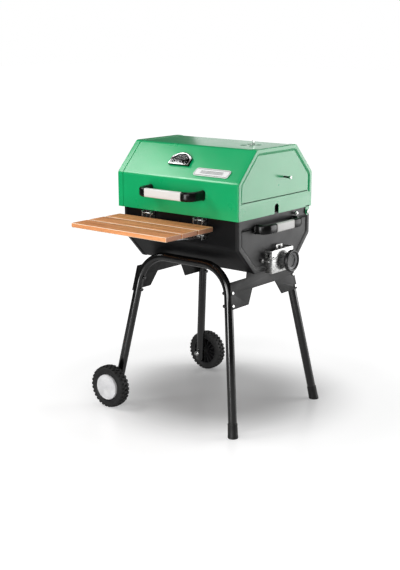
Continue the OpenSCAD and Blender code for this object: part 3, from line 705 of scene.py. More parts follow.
def plate_white():
    def build(name):
        material, tree, bsdf = shader(name, (0.84, 0.85, 0.84), 0.5, Specular_IOR_Level=0.2)
        tinted(tree, bsdf, (0.78, 0.79, 0.78), (0.88, 0.89, 0.88), 40, (1, 12, 12))
        rough_between(tree, bsdf, 0.44, 0.56, 90, (1, 14, 14))
        relief(tree, bsdf, 0.00003, (300, (1, 12, 12), 1.0))
        return material
    return made("plate_white", build)


def clear_glass():
    def build(name):
        material, tree, bsdf = shader(name, (0.97, 0.98, 0.98), 0.03, Transmission_Weight=1.0, IOR=1.12)
        rough_between(tree, bsdf, 0.02, 0.05, 40)
        return material
    return made("clear_glass", build)


def board_wood():
    def build(name):
        base = colours().wood
        material, tree, bsdf = shader(name, base, 0.5, Specular_IOR_Level=0.02)
        wood = use(tree, wood_group(), stretch=(0.55, 6.0, 6.0), bands=3.2, warp=5.0)
        tones = ramp(tree, [(0.20, shade(base, 0.36)), (0.42, shade(base, 0.76)), (0.60, base),
                            (0.84, (0.96, 0.52, 0.270))])
        tree.links.new(wood.outputs["Figure"], tones.inputs["Fac"])
        pores = node(tree, "ShaderNodeMapRange")
        pores.inputs["From Min"].default_value = 0.30
        pores.inputs["From Max"].default_value = 0.48
        pores.inputs["To Min"].default_value = 0.62
        pores.inputs["To Max"].default_value = 1.0
        tree.links.new(wood.outputs["Pores"], pores.inputs["Value"])
        dark = node(tree, "ShaderNodeMix", data_type="RGBA", blend_type="MULTIPLY")
        dark.inputs[0].default_value = 0.75
        tree.links.new(tones.outputs["Color"], dark.inputs[6])
        tree.links.new(pores.outputs[0], dark.inputs[7])
        tree.links.new(dark.outputs[2], bsdf.inputs["Base Color"])
        bumped(tree, bsdf, wood.outputs["Pores"], 0.0003, 0.5)
        rough_between(tree, bsdf, 0.34, 0.52, 30, (0.3, 5, 5))
        return material
    return made("board_wood", build)


# Pale tone for the boards' rounded edges: a painted highlight
def worn_edge():
    return made("worn_edge", moulded, (0.98, 0.70, 0.50), 0.45, 0.6, 0.0001, 300)


def end_grain():
    def build(name):
        material, tree, bsdf = shader(name, (0.55, 0.26, 0.13), 0.6)
        wood = use(tree, wood_group(), stretch=(1, 14, 26), bands=4.0, warp=7.0)
        blended(tree, bsdf, (0.42, 0.17, 0.09), (0.72, 0.34, 0.20), wood.outputs["Figure"])
        rough_between(tree, bsdf, 0.5, 0.7, 120)
        relief(tree, bsdf, 0.0003, (700, PLAIN, 1.0))
        return material
    return made("end_grain", build)


# ---- hood ----


def folded_sheet(name, x0, x1, outline):
    """A sheet along X, drawn edge by edge through the outline, with rounded bends."""
    size = sizes()
    clear_selection()
    start = Vector((0, *outline[0]))
    step = Vector((0, *outline[1])) - start
    bpy.ops.mesh.primitive_plane_add(size=1)
    piece = added(name)
    edit(piece)
    mesh = bmesh.from_edit_mesh(piece.data)
    for vert in mesh.verts:
        along = x1 if vert.co.x > 0 else x0
        vert.co = MID + Vector((along, 0, 0)) + start + step * (1 if vert.co.y > 0 else 0)
    bmesh.update_edit_mesh(piece.data)
    for i in range(1, len(outline) - 1):
        here = MID + Vector((0, *outline[i]))
        pick("EDGE", lambda e: abs(edge_line(e).x) > 0.99 and (edge_middle(e) - here).yz.length < 1e-5)
        move = Vector(outline[i + 1]) - Vector(outline[i])
        run_edges((0, move.x, move.y))
    bends = [MID + Vector((0, *point)) for point in outline[1:-1]]
    pick("EDGE", lambda e: abs(edge_line(e).x) > 0.99
         and any((edge_middle(e) - b).yz.length < 1e-5 for b in bends))
    bpy.ops.mesh.bevel(offset=size.bend, segments=8, affect="EDGES", profile=0.5)
    outward()
    leave()
    middle = MID + Vector((0, 0, sum(p[1] for p in outline) / len(outline)))
    face = max(piece.data.polygons, key=lambda f: f.area)
    if face.normal.dot(Vector(face.center) - middle) < 0:
        piece.data.flip_normals()
    apply_modifier(piece, "SOLIDIFY", thickness=size.sheet, offset=-1)
    return piece


def inset_outline(half, flat, open_z, bend_z, flat_z, t):
    """The six corners of a faceted section in Y and Z, drawn in by t."""
    s = 1 if flat_z > open_z else -1
    rise = abs(flat_z - bend_z)
    m = rise / (half - flat)
    q = t * math.sqrt(1 + m * m)
    h, b = half - t, bend_z + s * (t * m - q)
    f, z = half - (rise - t + q) / m, flat_z - s * t
    return [(-h, open_z), (-h, b), (-f, z), (f, z), (h, b), (h, open_z)]


def pressed_pan(name, x_face, depth, outline, panel_z):
    """A shallow six-sided pan with an open side and a pressed panel.

    x_face is its outer face, and depth is signed.
    """
    size = sizes()
    half, flat = outline[4][0], outline[3][0]
    open_z, bend_z, flat_z = outline[0][1], outline[1][1], outline[2][1]
    up = 1 if flat_z > open_z else -1
    low, high = sorted((open_z, flat_z))
    x_low, x_high = sorted((x_face, x_face - depth))
    out_x = 1 if depth > 0 else -1
    piece = block(name, at(x_low, -half, low), at(x_high, half, high))
    edit(piece)
    for side in (-1, 1):
        bpy.ops.mesh.select_all(action="SELECT")
        cut(at(0, side * half, bend_z), (0, side * abs(flat_z - bend_z), up * (half - flat)))
    face_x = MID.x + x_face

    def on_face(item):
        return item.normal.x * out_x > 0.999 and abs(item.calc_center_median().x - face_x) < 1e-5

    pick("FACE", lambda f: f.normal.x * out_x < -0.9 or f.normal.z * up < -0.9)
    bpy.ops.mesh.delete(type="FACE")
    pick("FACE", on_face)
    cut(at(0, 0, panel_z - up * PANEL_MARGIN), (0, 0, 1), fill=False, clear=False)
    pick("FACE", lambda f: on_face(f) and (f.calc_center_median().z - panel_z) * up > 0)
    bpy.ops.mesh.inset(thickness=PANEL_MARGIN - PANEL_SLOPE, depth=0)
    bpy.ops.mesh.bevel(offset=PANEL_CORNER, segments=6, affect="VERTICES", profile=0.5)
    pick("FACE", lambda f: on_face(f) and f.calc_area() > 0.02)
    for width, depth_in in ((0.0014, -size.press * 0.06), (0.0014, -size.press * 0.14),
                            (PANEL_SLOPE - 0.0038, -size.press * 0.80), (0.0010, 0.0004)):
        bpy.ops.mesh.inset(thickness=width, depth=depth_in)
    pick("EDGE", lambda e: abs(edge_line(e).x) > 0.99 and abs(edge_middle(e).z - open_z) > 0.002)
    bpy.ops.mesh.bevel(offset=size.bend, segments=8, affect="EDGES", profile=0.5)
    pick("EDGE", lambda e: e.is_manifold and abs(edge_middle(e).x - face_x) < 1e-5
         and any(abs(f.normal.x) < 0.01 for f in e.link_faces))
    bpy.ops.mesh.bevel(offset=size.rim, segments=8, affect="EDGES", profile=0.5)
    outward()
    leave()
    apply_modifier(piece, "SOLIDIFY", thickness=size.sheet, offset=-1)
    return piece


def hood_outline(t=0.0):
    return inset_outline(HOOD_HALF, HOOD_FLAT, HOOD_BASE, HOOD_BEND, HOOD_TOP, t)


def bowl_outline(t=0.0):
    return inset_outline(BOWL_HALF, BOWL_FLAT, BOWL_RIM, BOWL_BEND, BOWL_FLOOR, t)


def slot_cutter(x):
    """Round-topped cutter for the spit slot."""
    top = SLOT_TOP - SLOT_HALF
    body = block("slot_cutter", at(x - 0.03, -SLOT_HALF, HOOD_BASE - 0.02), at(x + 0.03, SLOT_HALF, top))
    crown = rod("slot_crown", at(x, 0, top), SLOT_HALF, 0.06, rotation=ALONG_X)
    subtract(body, crown, "UNION")
    return body


def hinge_ear(x0, x1):
    """Tab below the cap's edge that hangs on the lid's hinge pin."""
    tab = block("ear_tab", at(x0, PIN_Y - EAR_R, PIN_Z), at(x1, PIN_Y + EAR_R, HOOD_BASE + 0.004))
    middle = at((x0 + x1) / 2, PIN_Y, PIN_Z)
    subtract(tab, rod("ear_round", middle, EAR_R, abs(x1 - x0), rotation=ALONG_X), "UNION")
    subtract(tab, rod("ear_hole", at(x0, PIN_Y, PIN_Z), EAR_HOLE_R, 0.05, 32, ALONG_X))
    return tab


class GRILL_OT_hood(bpy.types.Operator):
    """Folded hood sheet and its two pressed end caps"""

    bl_idname = "grill.hood"
    bl_label = "Hood"

    def execute(self, context):
        size = sizes()
        face = CAP_R[1].x - MID.x
        inner = face - CAP_LAP
        sheet = folded_sheet("hood_sheet", -inner, inner, hood_outline(size.sheet + FIT_GAP))
        for cutter in vent_cutters():
            subtract(sheet, cutter)
        done(sheet, hood_enamel(), "hood", "hood_shell")
        depth = CAP_R[1].x - CAP_R[0].x
        for side, end in ((1, "right"), (-1, "left")):
            name = "hood_end_" + end
            cap = pressed_pan(name, side * face, side * depth, hood_outline(), HOOD_PANEL_Z)
            subtract(cap, slot_cutter(side * face))
            ear = hinge_ear(side * face, side * (face - size.sheet))
            cap = join(name, [cap, ear])
            done(cap, hood_enamel(), "hood", "hood_cap_" + end, angle=PAN_SMOOTH)
        return {"FINISHED"}


def vent_cutters():
    """Four cylinders on a ring about the vent's middle."""
    cutters = []
    for i in range(4):
        angle = math.radians(45 + 90 * i)
        place = at(VENT_X + VENT_RING_R * math.cos(angle), VENT_RING_R * math.sin(angle), HOOD_TOP)
        cutters.append(rod("vent_cutter", place, VENT_HOLE_R, 0.02))
    return cutters


# ---- handles ----


def stadium(name, place, thick, tall):
    """An upright rounded section in the Y-Z plane, as a closed row of edges."""
    clear_selection()
    bpy.ops.mesh.primitive_circle_add(vertices=32, radius=thick / 2, location=place, rotation=ALONG_X)
    piece = added(name)
    edit(piece)
    for side in (-1, 1):
        pick("VERT", lambda v: (v.co.z - place.z) * side > 1e-5)
        bpy.ops.transform.translate(value=(0, 0, side * (tall - thick) / 2))
    bpy.ops.mesh.select_all(action="SELECT")
    return piece


def handle_end(name, start, straight, radius, reach, thick, tall):
    """One curved end of a handle that runs along +X, turns towards +Y and ends in a foot on the wall."""
    piece = stadium(name, start, thick, tall)
    run_edges((straight, 0, 0))
    centre = start + Vector((straight, radius, 0))
    spin_edges(math.pi / 2, centre, (0, 0, 1), 14)
    run_edges((0, reach - radius - 0.004, 0))
    run_edges((0, 0.004, 0))
    bpy.ops.transform.resize(value=(1.25, 1, 1.12), center_override=centre + Vector((radius, 0, 0)))
    close_ends()
    leave()
    soften(piece, 0.0008, 2, 50)
    return piece


def handle_bar(name, centre, length, thick, tall):
    """The grip: a straight bar with softly rounded edges and a slight crown."""
    half = Vector((length / 2, thick / 2, tall / 2))
    bar = block(name, centre - half, centre + half)
    edit(bar)
    pick("EDGE", lambda e: abs(edge_line(e).x) > 0.99)
    bpy.ops.mesh.bevel(offset=0.0062, segments=6, affect="EDGES", profile=0.55)
    leave()
    soften(bar, 0.0006, 2, 60)
    return bar


def handle(name, grip_len, base_len, reach, z):
    """The grip and two ends of a handle along X, its wall at y = 0, that reaches out towards -Y."""
    thick, tall = HANDLE_THICK, HANDLE_TALL
    origin = Vector((0, -reach, z))
    grip = handle_bar(name + "_grip", origin, grip_len, thick + 0.001, tall + 0.001)
    radius = min(reach - thick / 2, base_len / 2 - grip_len / 2 - thick / 2) - 0.004
    straight = base_len / 2 - grip_len / 2 - radius - thick / 2
    start = origin + Vector((grip_len / 2 + 0.0002, 0, 0))
    right = handle_end(name + "_end_a", start, straight, radius, reach, thick + 0.002, tall + 0.004)
    left = flipped(right, name + "_end_b", 0, 0)
    return grip, right, left


class GRILL_OT_handles(bpy.types.Operator):
    """Lid handle and the two side handles"""

    bl_idname = "grill.handles"
    bl_label = "Handles"

    def execute(self, context):
        grip, right, left = handle("lid_handle", 0.170, 0.262, 0.070, 0.861)
        place = Matrix.Translation(at(0.003, -HOOD_HALF, 0))
        done(moved(grip, place), grip_coat(), "hood", "lid_handle_grip")
        ends = join("lid_handle_arms", [moved(right, place), moved(left, place)])
        done(ends, handle_black(), "hood", "lid_handle_ends")
        arms = []
        for side, wall, end in ((1, END_R[1].x, "right"), (-1, END_L[0].x, "left")):
            grip, right, left = handle("side_handle", 0.108, 0.250, 0.042, 0.741)
            wall_x = wall - side * (sizes().press - 0.0002)
            place = Matrix.Translation((wall_x, MID.y, 0)) @ Matrix.Rotation(side * math.pi / 2, 4, "Z")
            bar = done(moved(grip, place), grip_coat(), "grill", "side_handle_grip_" + end)
            bar.name = "side_grip_bar_" + end
            arms += [moved(right, place), moved(left, place)]
        done(join("side_handle_arms", arms), handle_black(), "grill", "side_handle_ends")
        return {"FINISHED"}


# ---- hood fittings ----


def on_slope(x, up):
    """Matrix that lays a piece on the front slope: X along it, Y up it, Z out of the face."""
    lift = Matrix.Translation(at(x, -HOOD_HALF, HOOD_BEND)) @ Matrix.Rotation(SLOPE, 4, "X")
    return lift @ Matrix.Translation((0, up, -0.0001))


def dome(name, width, height, base, top):
    """A slab with upright sides, a low arched top and its flat edge at y = 0."""
    radius = GAUGE_ROUND * width
    piece = rod(name, (0, height - radius, (top + base) / 2), radius, top - base, 192)
    edit(piece)
    sides = ((0, 0, 0), (0, -1, 0)), ((width / 2, 0, 0), (1, 0, 0)), ((-width / 2, 0, 0), (-1, 0, 0))
    for point, away in sides:
        bpy.ops.mesh.select_all(action="SELECT")
        cut(point, away)
    leave()
    return piece


class GRILL_OT_thermometer(bpy.types.Operator):
    """Half-moon thermometer: bezel, dial with marks, needle and glass"""

    bl_idname = "grill.thermometer"
    bl_label = "Thermometer"

    def execute(self, context):
        place = on_slope(-0.016, 0.0545)
        bezel = dome("gauge_bezel", 0.094, 0.055, 0, 0.0090)
        recess = dome("gauge_recess", 0.080, 0.043, 0.0034, 0.02)
        subtract(bezel, moved(recess, Matrix.Translation((0, 0.005, 0))))
        edit(bezel)
        pick("EDGE", lambda e: min(v.co.z for v in e.verts) > 0.0089 and len(e.link_faces) == 2
             and min(f.normal.z for f in e.link_faces) < 0.5)
        bpy.ops.mesh.bevel(offset=0.0026, segments=5, affect="EDGES", profile=0.5)
        leave()
        two_tone(bezel, bright_chrome(), handle_black(), lambda f: abs(f.normal.z) < 0.2)
        done(moved(bezel, place), bright_chrome(), "hood", "thermometer_bezel")
        dial = dome("gauge_dial", 0.0794, 0.0426, 0.0036, 0.0050)
        moved(dial, place @ Matrix.Translation((0, 0.0052, 0)))
        done(dial, dial_face(), "hood", "thermometer_dial")
        marks = moved(self.marks(), place @ Matrix.Translation((0, 0, 0.0050)))
        done(marks, dial_marks(), "hood", slot="plate_white")
        glass = dome("gauge_glass", 0.0792, 0.0424, 0.0070, 0.0080)
        soften(glass, 0.0004, 3, 40)
        moved(glass, place @ Matrix.Translation((0, 0.0053, 0)))
        done(glass, clear_glass(), "hood", "thermometer_lens")
        refined("thermometer_stem", "gauge_stem", zinc_plate(), "hood", 0.0003)
        refined("thermometer_needle", "gauge_needle", needle_red(), "needle", 0.0001)
        return {"FINISHED"}

    def marks(self):
        """Tick marks on two arcs, longer at every fifth, and a ring of short bars below them."""
        bars = []
        for i in range(31):
            angle = math.radians(15 + i * 5)
            long = i % 5 == 0
            length = 0.0048 if long else 0.0028
            width = 0.0012 if long else 0.0007
            bars.append(self.bar(angle, 0.0285 - length / 2, length, width))
        for i in range(7):
            bars.append(self.bar(math.radians(15 + i * 25), 0.0190, 0.0034, 0.0026))
        return join("gauge_marks", bars)

    def bar(self, angle, radius, length, width):
        """One raised mark, at an angle and a radius about the needle's pivot."""
        near, far = radius - length / 2, radius + length / 2
        bar = block("gauge_mark", (near, -width / 2, 0), (far, width / 2, 0.0002))
        return moved(bar, Matrix.Translation((0, 0.018, 0)) @ Matrix.Rotation(angle, 4, "Z"))


class GRILL_OT_hood_trim(bpy.types.Operator):
    """Blank name plate, vent damper with its tab and rivet, studs and hinge pins"""

    bl_idname = "grill.hood_trim"
    bl_label = "Hood trim"

    def execute(self, context):
        self.plate()
        self.vent()
        studs = refined("rack_studs", "hood_studs", zinc_plate(), "hood", 0.0006)
        two_tone(studs, None, handle_black(), lambda f: 0.280 < abs(f.center.x - MID.x) < 0.3065
                 and abs(f.normal.x) < 0.5)
        refined("lid_hinge_pins", "hinge_pins", zinc_plate(), "grill", 0.0006)
        return {"FINISHED"}

    def plate(self):
        half_w, half_h = 0.078, 0.0165
        plate = block("maker_plate_blank", (-half_w, -half_h, 0), (half_w, half_h, 0.0028))
        edit(plate)
        pick("VERT", lambda v: v.co.y > 0)
        bpy.ops.transform.translate(value=(0.006, 0, 0))
        bpy.ops.mesh.select_all(action="SELECT")
        bpy.ops.transform.translate(value=(-0.003, 0, 0))
        pick("EDGE", lambda e: abs(edge_line(e).z) > 0.9)
        bpy.ops.mesh.bevel(offset=0.010, segments=10, affect="EDGES")
        pick("FACE", lambda f: f.normal.z > 0.99)
        bpy.ops.mesh.inset(thickness=0.0024, depth=0)
        bpy.ops.mesh.inset(thickness=0.0002, depth=-0.0005)
        bpy.ops.mesh.inset(thickness=0.0016, depth=0)
        bpy.ops.mesh.inset(thickness=0.0002, depth=0.0005)
        leave()
        two_tone(plate, plate_white(), handle_black(),
                 lambda f: f.normal.z > 0.99 and 0.0020 < f.center.z < 0.0026)
        lines = []
        for row in (-0.0046, 0, 0.0046):
            half, shift = Vector((0.050, 0.0008, 0.0002)), Vector((row * 0.2, row, 0.0028))
            line = block("plate_line", shift - half, shift + half)
            line.data.materials.append(handle_black())
            lines.append(line)
        head = [(0.0022, 0.0015), (0.0021, 0.0030), (0.0015, 0.0037), (0.0005, 0.0040)]
        rivets = [turned("plate_rivet", head, 20, (x, 0, 0), UP) for x in (-0.070, 0.070)]
        plate = join("maker_plate_blank", [plate] + lines + rivets)
        done(moved(plate, on_slope(0.149, 0.036)), plate_white(), "hood", "name_plate")

    def vent(self):
        centre = at(VENT_X, 0, HOOD_TOP)
        disc = turned("vent_disc", [(0.0478, -0.0012), (0.0478, -0.0002), (0.0470, 0.0006), (0.0440, 0.0008),
                                    (0.0425, 0.0004), (0.0050, 0.0004)], 96, centre, UP)
        for cutter in vent_cutters():
            subtract(disc, cutter)
        done(disc, hood_enamel(), "vent", "vent_damper")
        low = centre + Vector((0.010, -0.007, 0.0006))
        tab = block("vent_lever", low, low + Vector((0.0022, 0.014, 0.0216)))
        edit(tab)
        pick("EDGE", lambda e: abs(edge_line(e).x) > 0.9 and edge_middle(e).z > centre.z + 0.01)
        bpy.ops.mesh.bevel(offset=0.006, segments=6, affect="EDGES")
        leave()
        soften(tab, 0.0004, 2, 40)
        done(tab, zinc_plate(), "vent", "vent_tab")
        rivet = turned("vent_pin", [(0.0066, 0.0006), (0.0068, 0.0016), (0.0055, 0.0027), (0.0030, 0.0033),
                                    (0.0008, 0.0035)], 32, centre, UP)
        done(rivet, zinc_plate(), "hood", "vent_rivet")


# ---- bowl ----


class GRILL_OT_bowl(bpy.types.Operator):
    """Folded bowl sheet and its two pressed ends"""

    bl_idname = "grill.bowl"
    bl_label = "Bowl"

    def execute(self, context):
        left, right = END_L[0].x - MID.x, END_R[1].x - MID.x
        outline = bowl_outline(sizes().sheet + FIT_GAP)
        sheet = folded_sheet("bowl_sheet", left + CAP_LAP, right - CAP_LAP, outline)
        done(sheet, bowl_sheet_enamel(), "grill", "bowl_shell")
        for side, face, end in ((1, right, "right"), (-1, left, "left")):
            pan = pressed_pan("bowl_side_" + end, face, side * 0.015, bowl_outline(), BOWL_PANEL_Z)
            if side > 0:
                wall, middle = END_R[1].x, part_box("lift_rack")[0].y + 0.007
                subtract(pan, block("lift_slot", (wall - 0.02, middle - 0.010, 0.583),
                                    (wall + 0.01, middle + 0.010, 0.648)))
            done(pan, bowl_enamel(), "grill", "bowl_end_" + end, angle=PAN_SMOOTH)
        refined("lid_stop_bolts", "stop_bolts", zinc_plate(), "grill", 0.0008)
        refined("grate_ledges", "ledges", bowl_enamel(), "grill", 0.0004)
        return {"FINISHED"}


# ---- charcoal lift ----


class GRILL_OT_lift(bpy.types.Operator):
    """Housing, rack, shaft, handwheel and latch on the right end, and the tray inside"""

    bl_idname = "grill.lift"
    bl_label = "Charcoal lift"

    def execute(self, context):
        refined("lift_housing", "lift_cover", zinc_plate(), "grill", 0.0007, 3)
        refined("housing_screws", "cover_screws", zinc_plate(), "grill", 0.0005)
        refined("shaft_bush", "bush", bush_brass(), "grill", 0.0004)
        refined("lift_rack", "toothed_bar", zinc_plate(), "lift", 0.0003)
        refined("tray_carrier", "tray_frame", hot_steel(), "lift", 0.0006)
        refined("charcoal_tray", "tray_pan", hot_steel(), "lift", 0.0005)
        refined("pinion_shaft", "pinion", zinc_plate(), "handwheel", 0.0002)
        self.handwheel()
        self.latch()
        return {"FINISHED"}

    def handwheel(self):
        low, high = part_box("handwheel_rim")
        centre = Vector((low.x, (low.y + high.y) / 2, (low.z + high.z) / 2))
        deep = high.x - low.x
        profile = [(0.0345, 0.0006), (0.0385, 0.0000), (0.0412, 0.0022), (0.0420, 0.0060), (0.0420, 0.0100),
                   (0.0412, 0.0135), (0.0390, deep), (0.0350, deep), (0.0318, 0.0142), (0.0302, 0.0110),
                   (0.0296, 0.0060), (0.0310, 0.0020)]
        rim = turned("handwheel_ring", profile, 96, centre, (1, 0, 0), closed=True)
        apply_modifier(rim, "SUBSURF", levels=1, render_levels=1)
        done(rim, knob_black(), "handwheel", "handwheel_rim", angle=60)
        profile = [(0.0050, -0.0060), (0.0118, -0.0060), (0.0120, 0.0030), (0.0310, 0.0036), (0.0340, 0.0060),
                   (0.0352, 0.0128), (0.0345, 0.0136), (0.0335, 0.0134), (0.0240, 0.0078), (0.0232, 0.0068),
                   (0.0226, 0.0050), (0.0120, 0.0046), (0.0010, 0.0045)]
        hub = turned("handwheel_face", profile, 96, centre, (1, 0, 0))
        two_tone(hub, knob_grey(), knob_black(), lambda f: f.center.x - centre.x > 0.004
                 and (f.center - centre).yz.length < 0.0231)
        done(hub, knob_grey(), "handwheel", "handwheel_hub")

    def latch(self):
        low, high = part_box("latch_wire")
        radius = 0.0025
        start = Vector((low.x, low.y + radius, low.z + radius))
        clear_selection()
        bpy.ops.mesh.primitive_circle_add(vertices=20, radius=radius, location=start, rotation=ALONG_X)
        wire = added("latch_rod")
        edit(wire)
        bpy.ops.mesh.select_all(action="SELECT")
        corner, lean, arm = 0.008, math.radians(15), 0.042
        along = Vector((0, math.cos(lean), math.sin(lean)))
        run_edges((high.x - radius - corner - low.x, 0, 0))
        centre = Vector((high.x - radius - corner, start.y, start.z)) + along * corner
        spin_edges(math.pi / 2, centre, Vector((1, 0, 0)).cross(along), 8)
        run_edges(along * (arm - corner - 0.004))
        run_edges(along * 0.004)
        tip = centre + Vector((corner, 0, 0)) + along * (arm - corner)
        bpy.ops.transform.resize(value=(1.5, 1.0, 1.5), center_override=tip)
        close_ends()
        leave()
        soften(wire, 0.0005, 2, 50)
        done(wire, zinc_plate(), "latch", "latch_wire")
        refined("latch_nut", "latch_hex_nut", zinc_plate(), "latch", 0.0004)


class GRILL_OT_grates(bpy.types.Operator):
    """Cooking grates and warming rack, carried over with their finish"""

    bl_idname = "grill.grates"
    bl_label = "Grates"

    def execute(self, context):
        for cad, name, body in (("cooking_grate_left", "grate_a", "grate_left"),
                                ("cooking_grate_right", "grate_b", "grate_right"),
                                ("warming_rack", "rack_upper", "hood")):
            refined(cad, name, grate_wire(), body, 0.0, angle=40)
        return {"FINISHED"}


# ---- stand ----


def bent_loop(name, sides):
    """The front leg loop, drawn flat with runs and bends, then leaned outwards."""
    scale = math.sqrt(1 + LEAN_Y * LEAN_Y)
    top = LOOP_TOP * scale
    lean = math.atan(LEAN_X / scale)
    turn = math.pi / 2 - lean
    trim = LOOP_BEND * math.tan(turn / 2)
    corner = FOOT.x - LEAN_X * LOOP_TOP
    bar = corner - trim
    run = top / math.cos(lean) - trim
    up = Vector((math.sin(lean), 0, math.cos(lean)))
    left_start = 0.054
    clear_selection()
    start = Vector((-FOOT.x, 0, 0)) + up * left_start
    bpy.ops.mesh.primitive_circle_add(vertices=sides, radius=TUBE_R, location=start, rotation=(0, lean, 0))
    loop = added(name)
    edit(loop)
    bpy.ops.mesh.select_all(action="SELECT")
    run_edges(up * (run - left_start))
    spin_edges(turn, (-bar, 0, top - LOOP_BEND), (0, 1, 0), 20)
    run_edges((2 * bar, 0, 0))
    spin_edges(turn, (bar, 0, top - LOOP_BEND), (0, 1, 0), 20)
    run_edges(Vector((up.x, 0, -up.z)) * (run - 0.008))
    close_ends()
    leave()
    soften(loop, 0.0012, 2, 60)
    tilt = Matrix.Rotation(-math.atan(LEAN_Y), 4, "X")
    return moved(loop, Matrix.Translation(at(0, -FOOT.y, 0)) @ tilt)


def foot_cap(name):
    """Rubber ferrule on the front right leg, cut level with the floor."""
    scale = math.sqrt(1 + LEAN_Y * LEAN_Y)
    lean = math.atan(LEAN_X / scale)
    profile = [(0.0190, -0.012), (0.0190, 0.006), (0.0184, 0.012), (0.0178, 0.046), (0.0182, 0.047),
               (0.0182, 0.050), (0.0176, 0.0520), (0.0166, 0.0522)]
    cap = turned(name, profile, 64, (0, 0, 0), UP)
    tilt = Matrix.Rotation(-math.atan(LEAN_Y), 4, "X") @ Matrix.Rotation(-lean, 4, "Y")
    moved(cap, Matrix.Translation(at(FOOT.x, -FOOT.y, 0)) @ tilt)
    edit(cap)
    bpy.ops.mesh.select_all(action="SELECT")
    cut((0, 0, 0), (0, 0, -1))
    leave()
    soften(cap, 0.0012, 3, 35)
    return cap


class GRILL_OT_stand(bpy.types.Operator):
    """Bent leg loops, side brackets, bolts and foot caps"""

    bl_idname = "grill.stand"
    bl_label = "Stand"

    def execute(self, context):
        front = bent_loop("front_loop", sizes().tube_sides)
        rear = flipped(front, "rear_loop", 1, MID.y)
        done(front, frame_coat(), "grill", "leg_loop_front", angle=50)
        done(rear, frame_coat(), "grill", "leg_loop_rear", angle=50)
        cap = foot_cap("foot_cap_a")
        twin = flipped(cap, "foot_cap_b", 1, MID.y)
        done(join("foot_ferrules", [cap, twin]), foot_rubber(), "grill", "foot_caps")
        refined("side_bracket_left", "arch_left", bracket_coat(), "grill", 0.0008, 3)
        refined("side_bracket_right", "arch_right", bracket_coat(), "grill", 0.0008, 3)
        bolts = refined("bracket_bolts", "arch_bolts", zinc_plate(), "grill", 0.0012, 4)
        two_tone(bolts, None, frame_coat(),
                 lambda f: abs(f.center.x - MID.x) < FOOT.x - LEAN_X * f.center.z)
        refined("bowl_bolts", "floor_bolts", zinc_plate(), "grill", 0.0006)
        return {"FINISHED"}


# ---- wheels ----


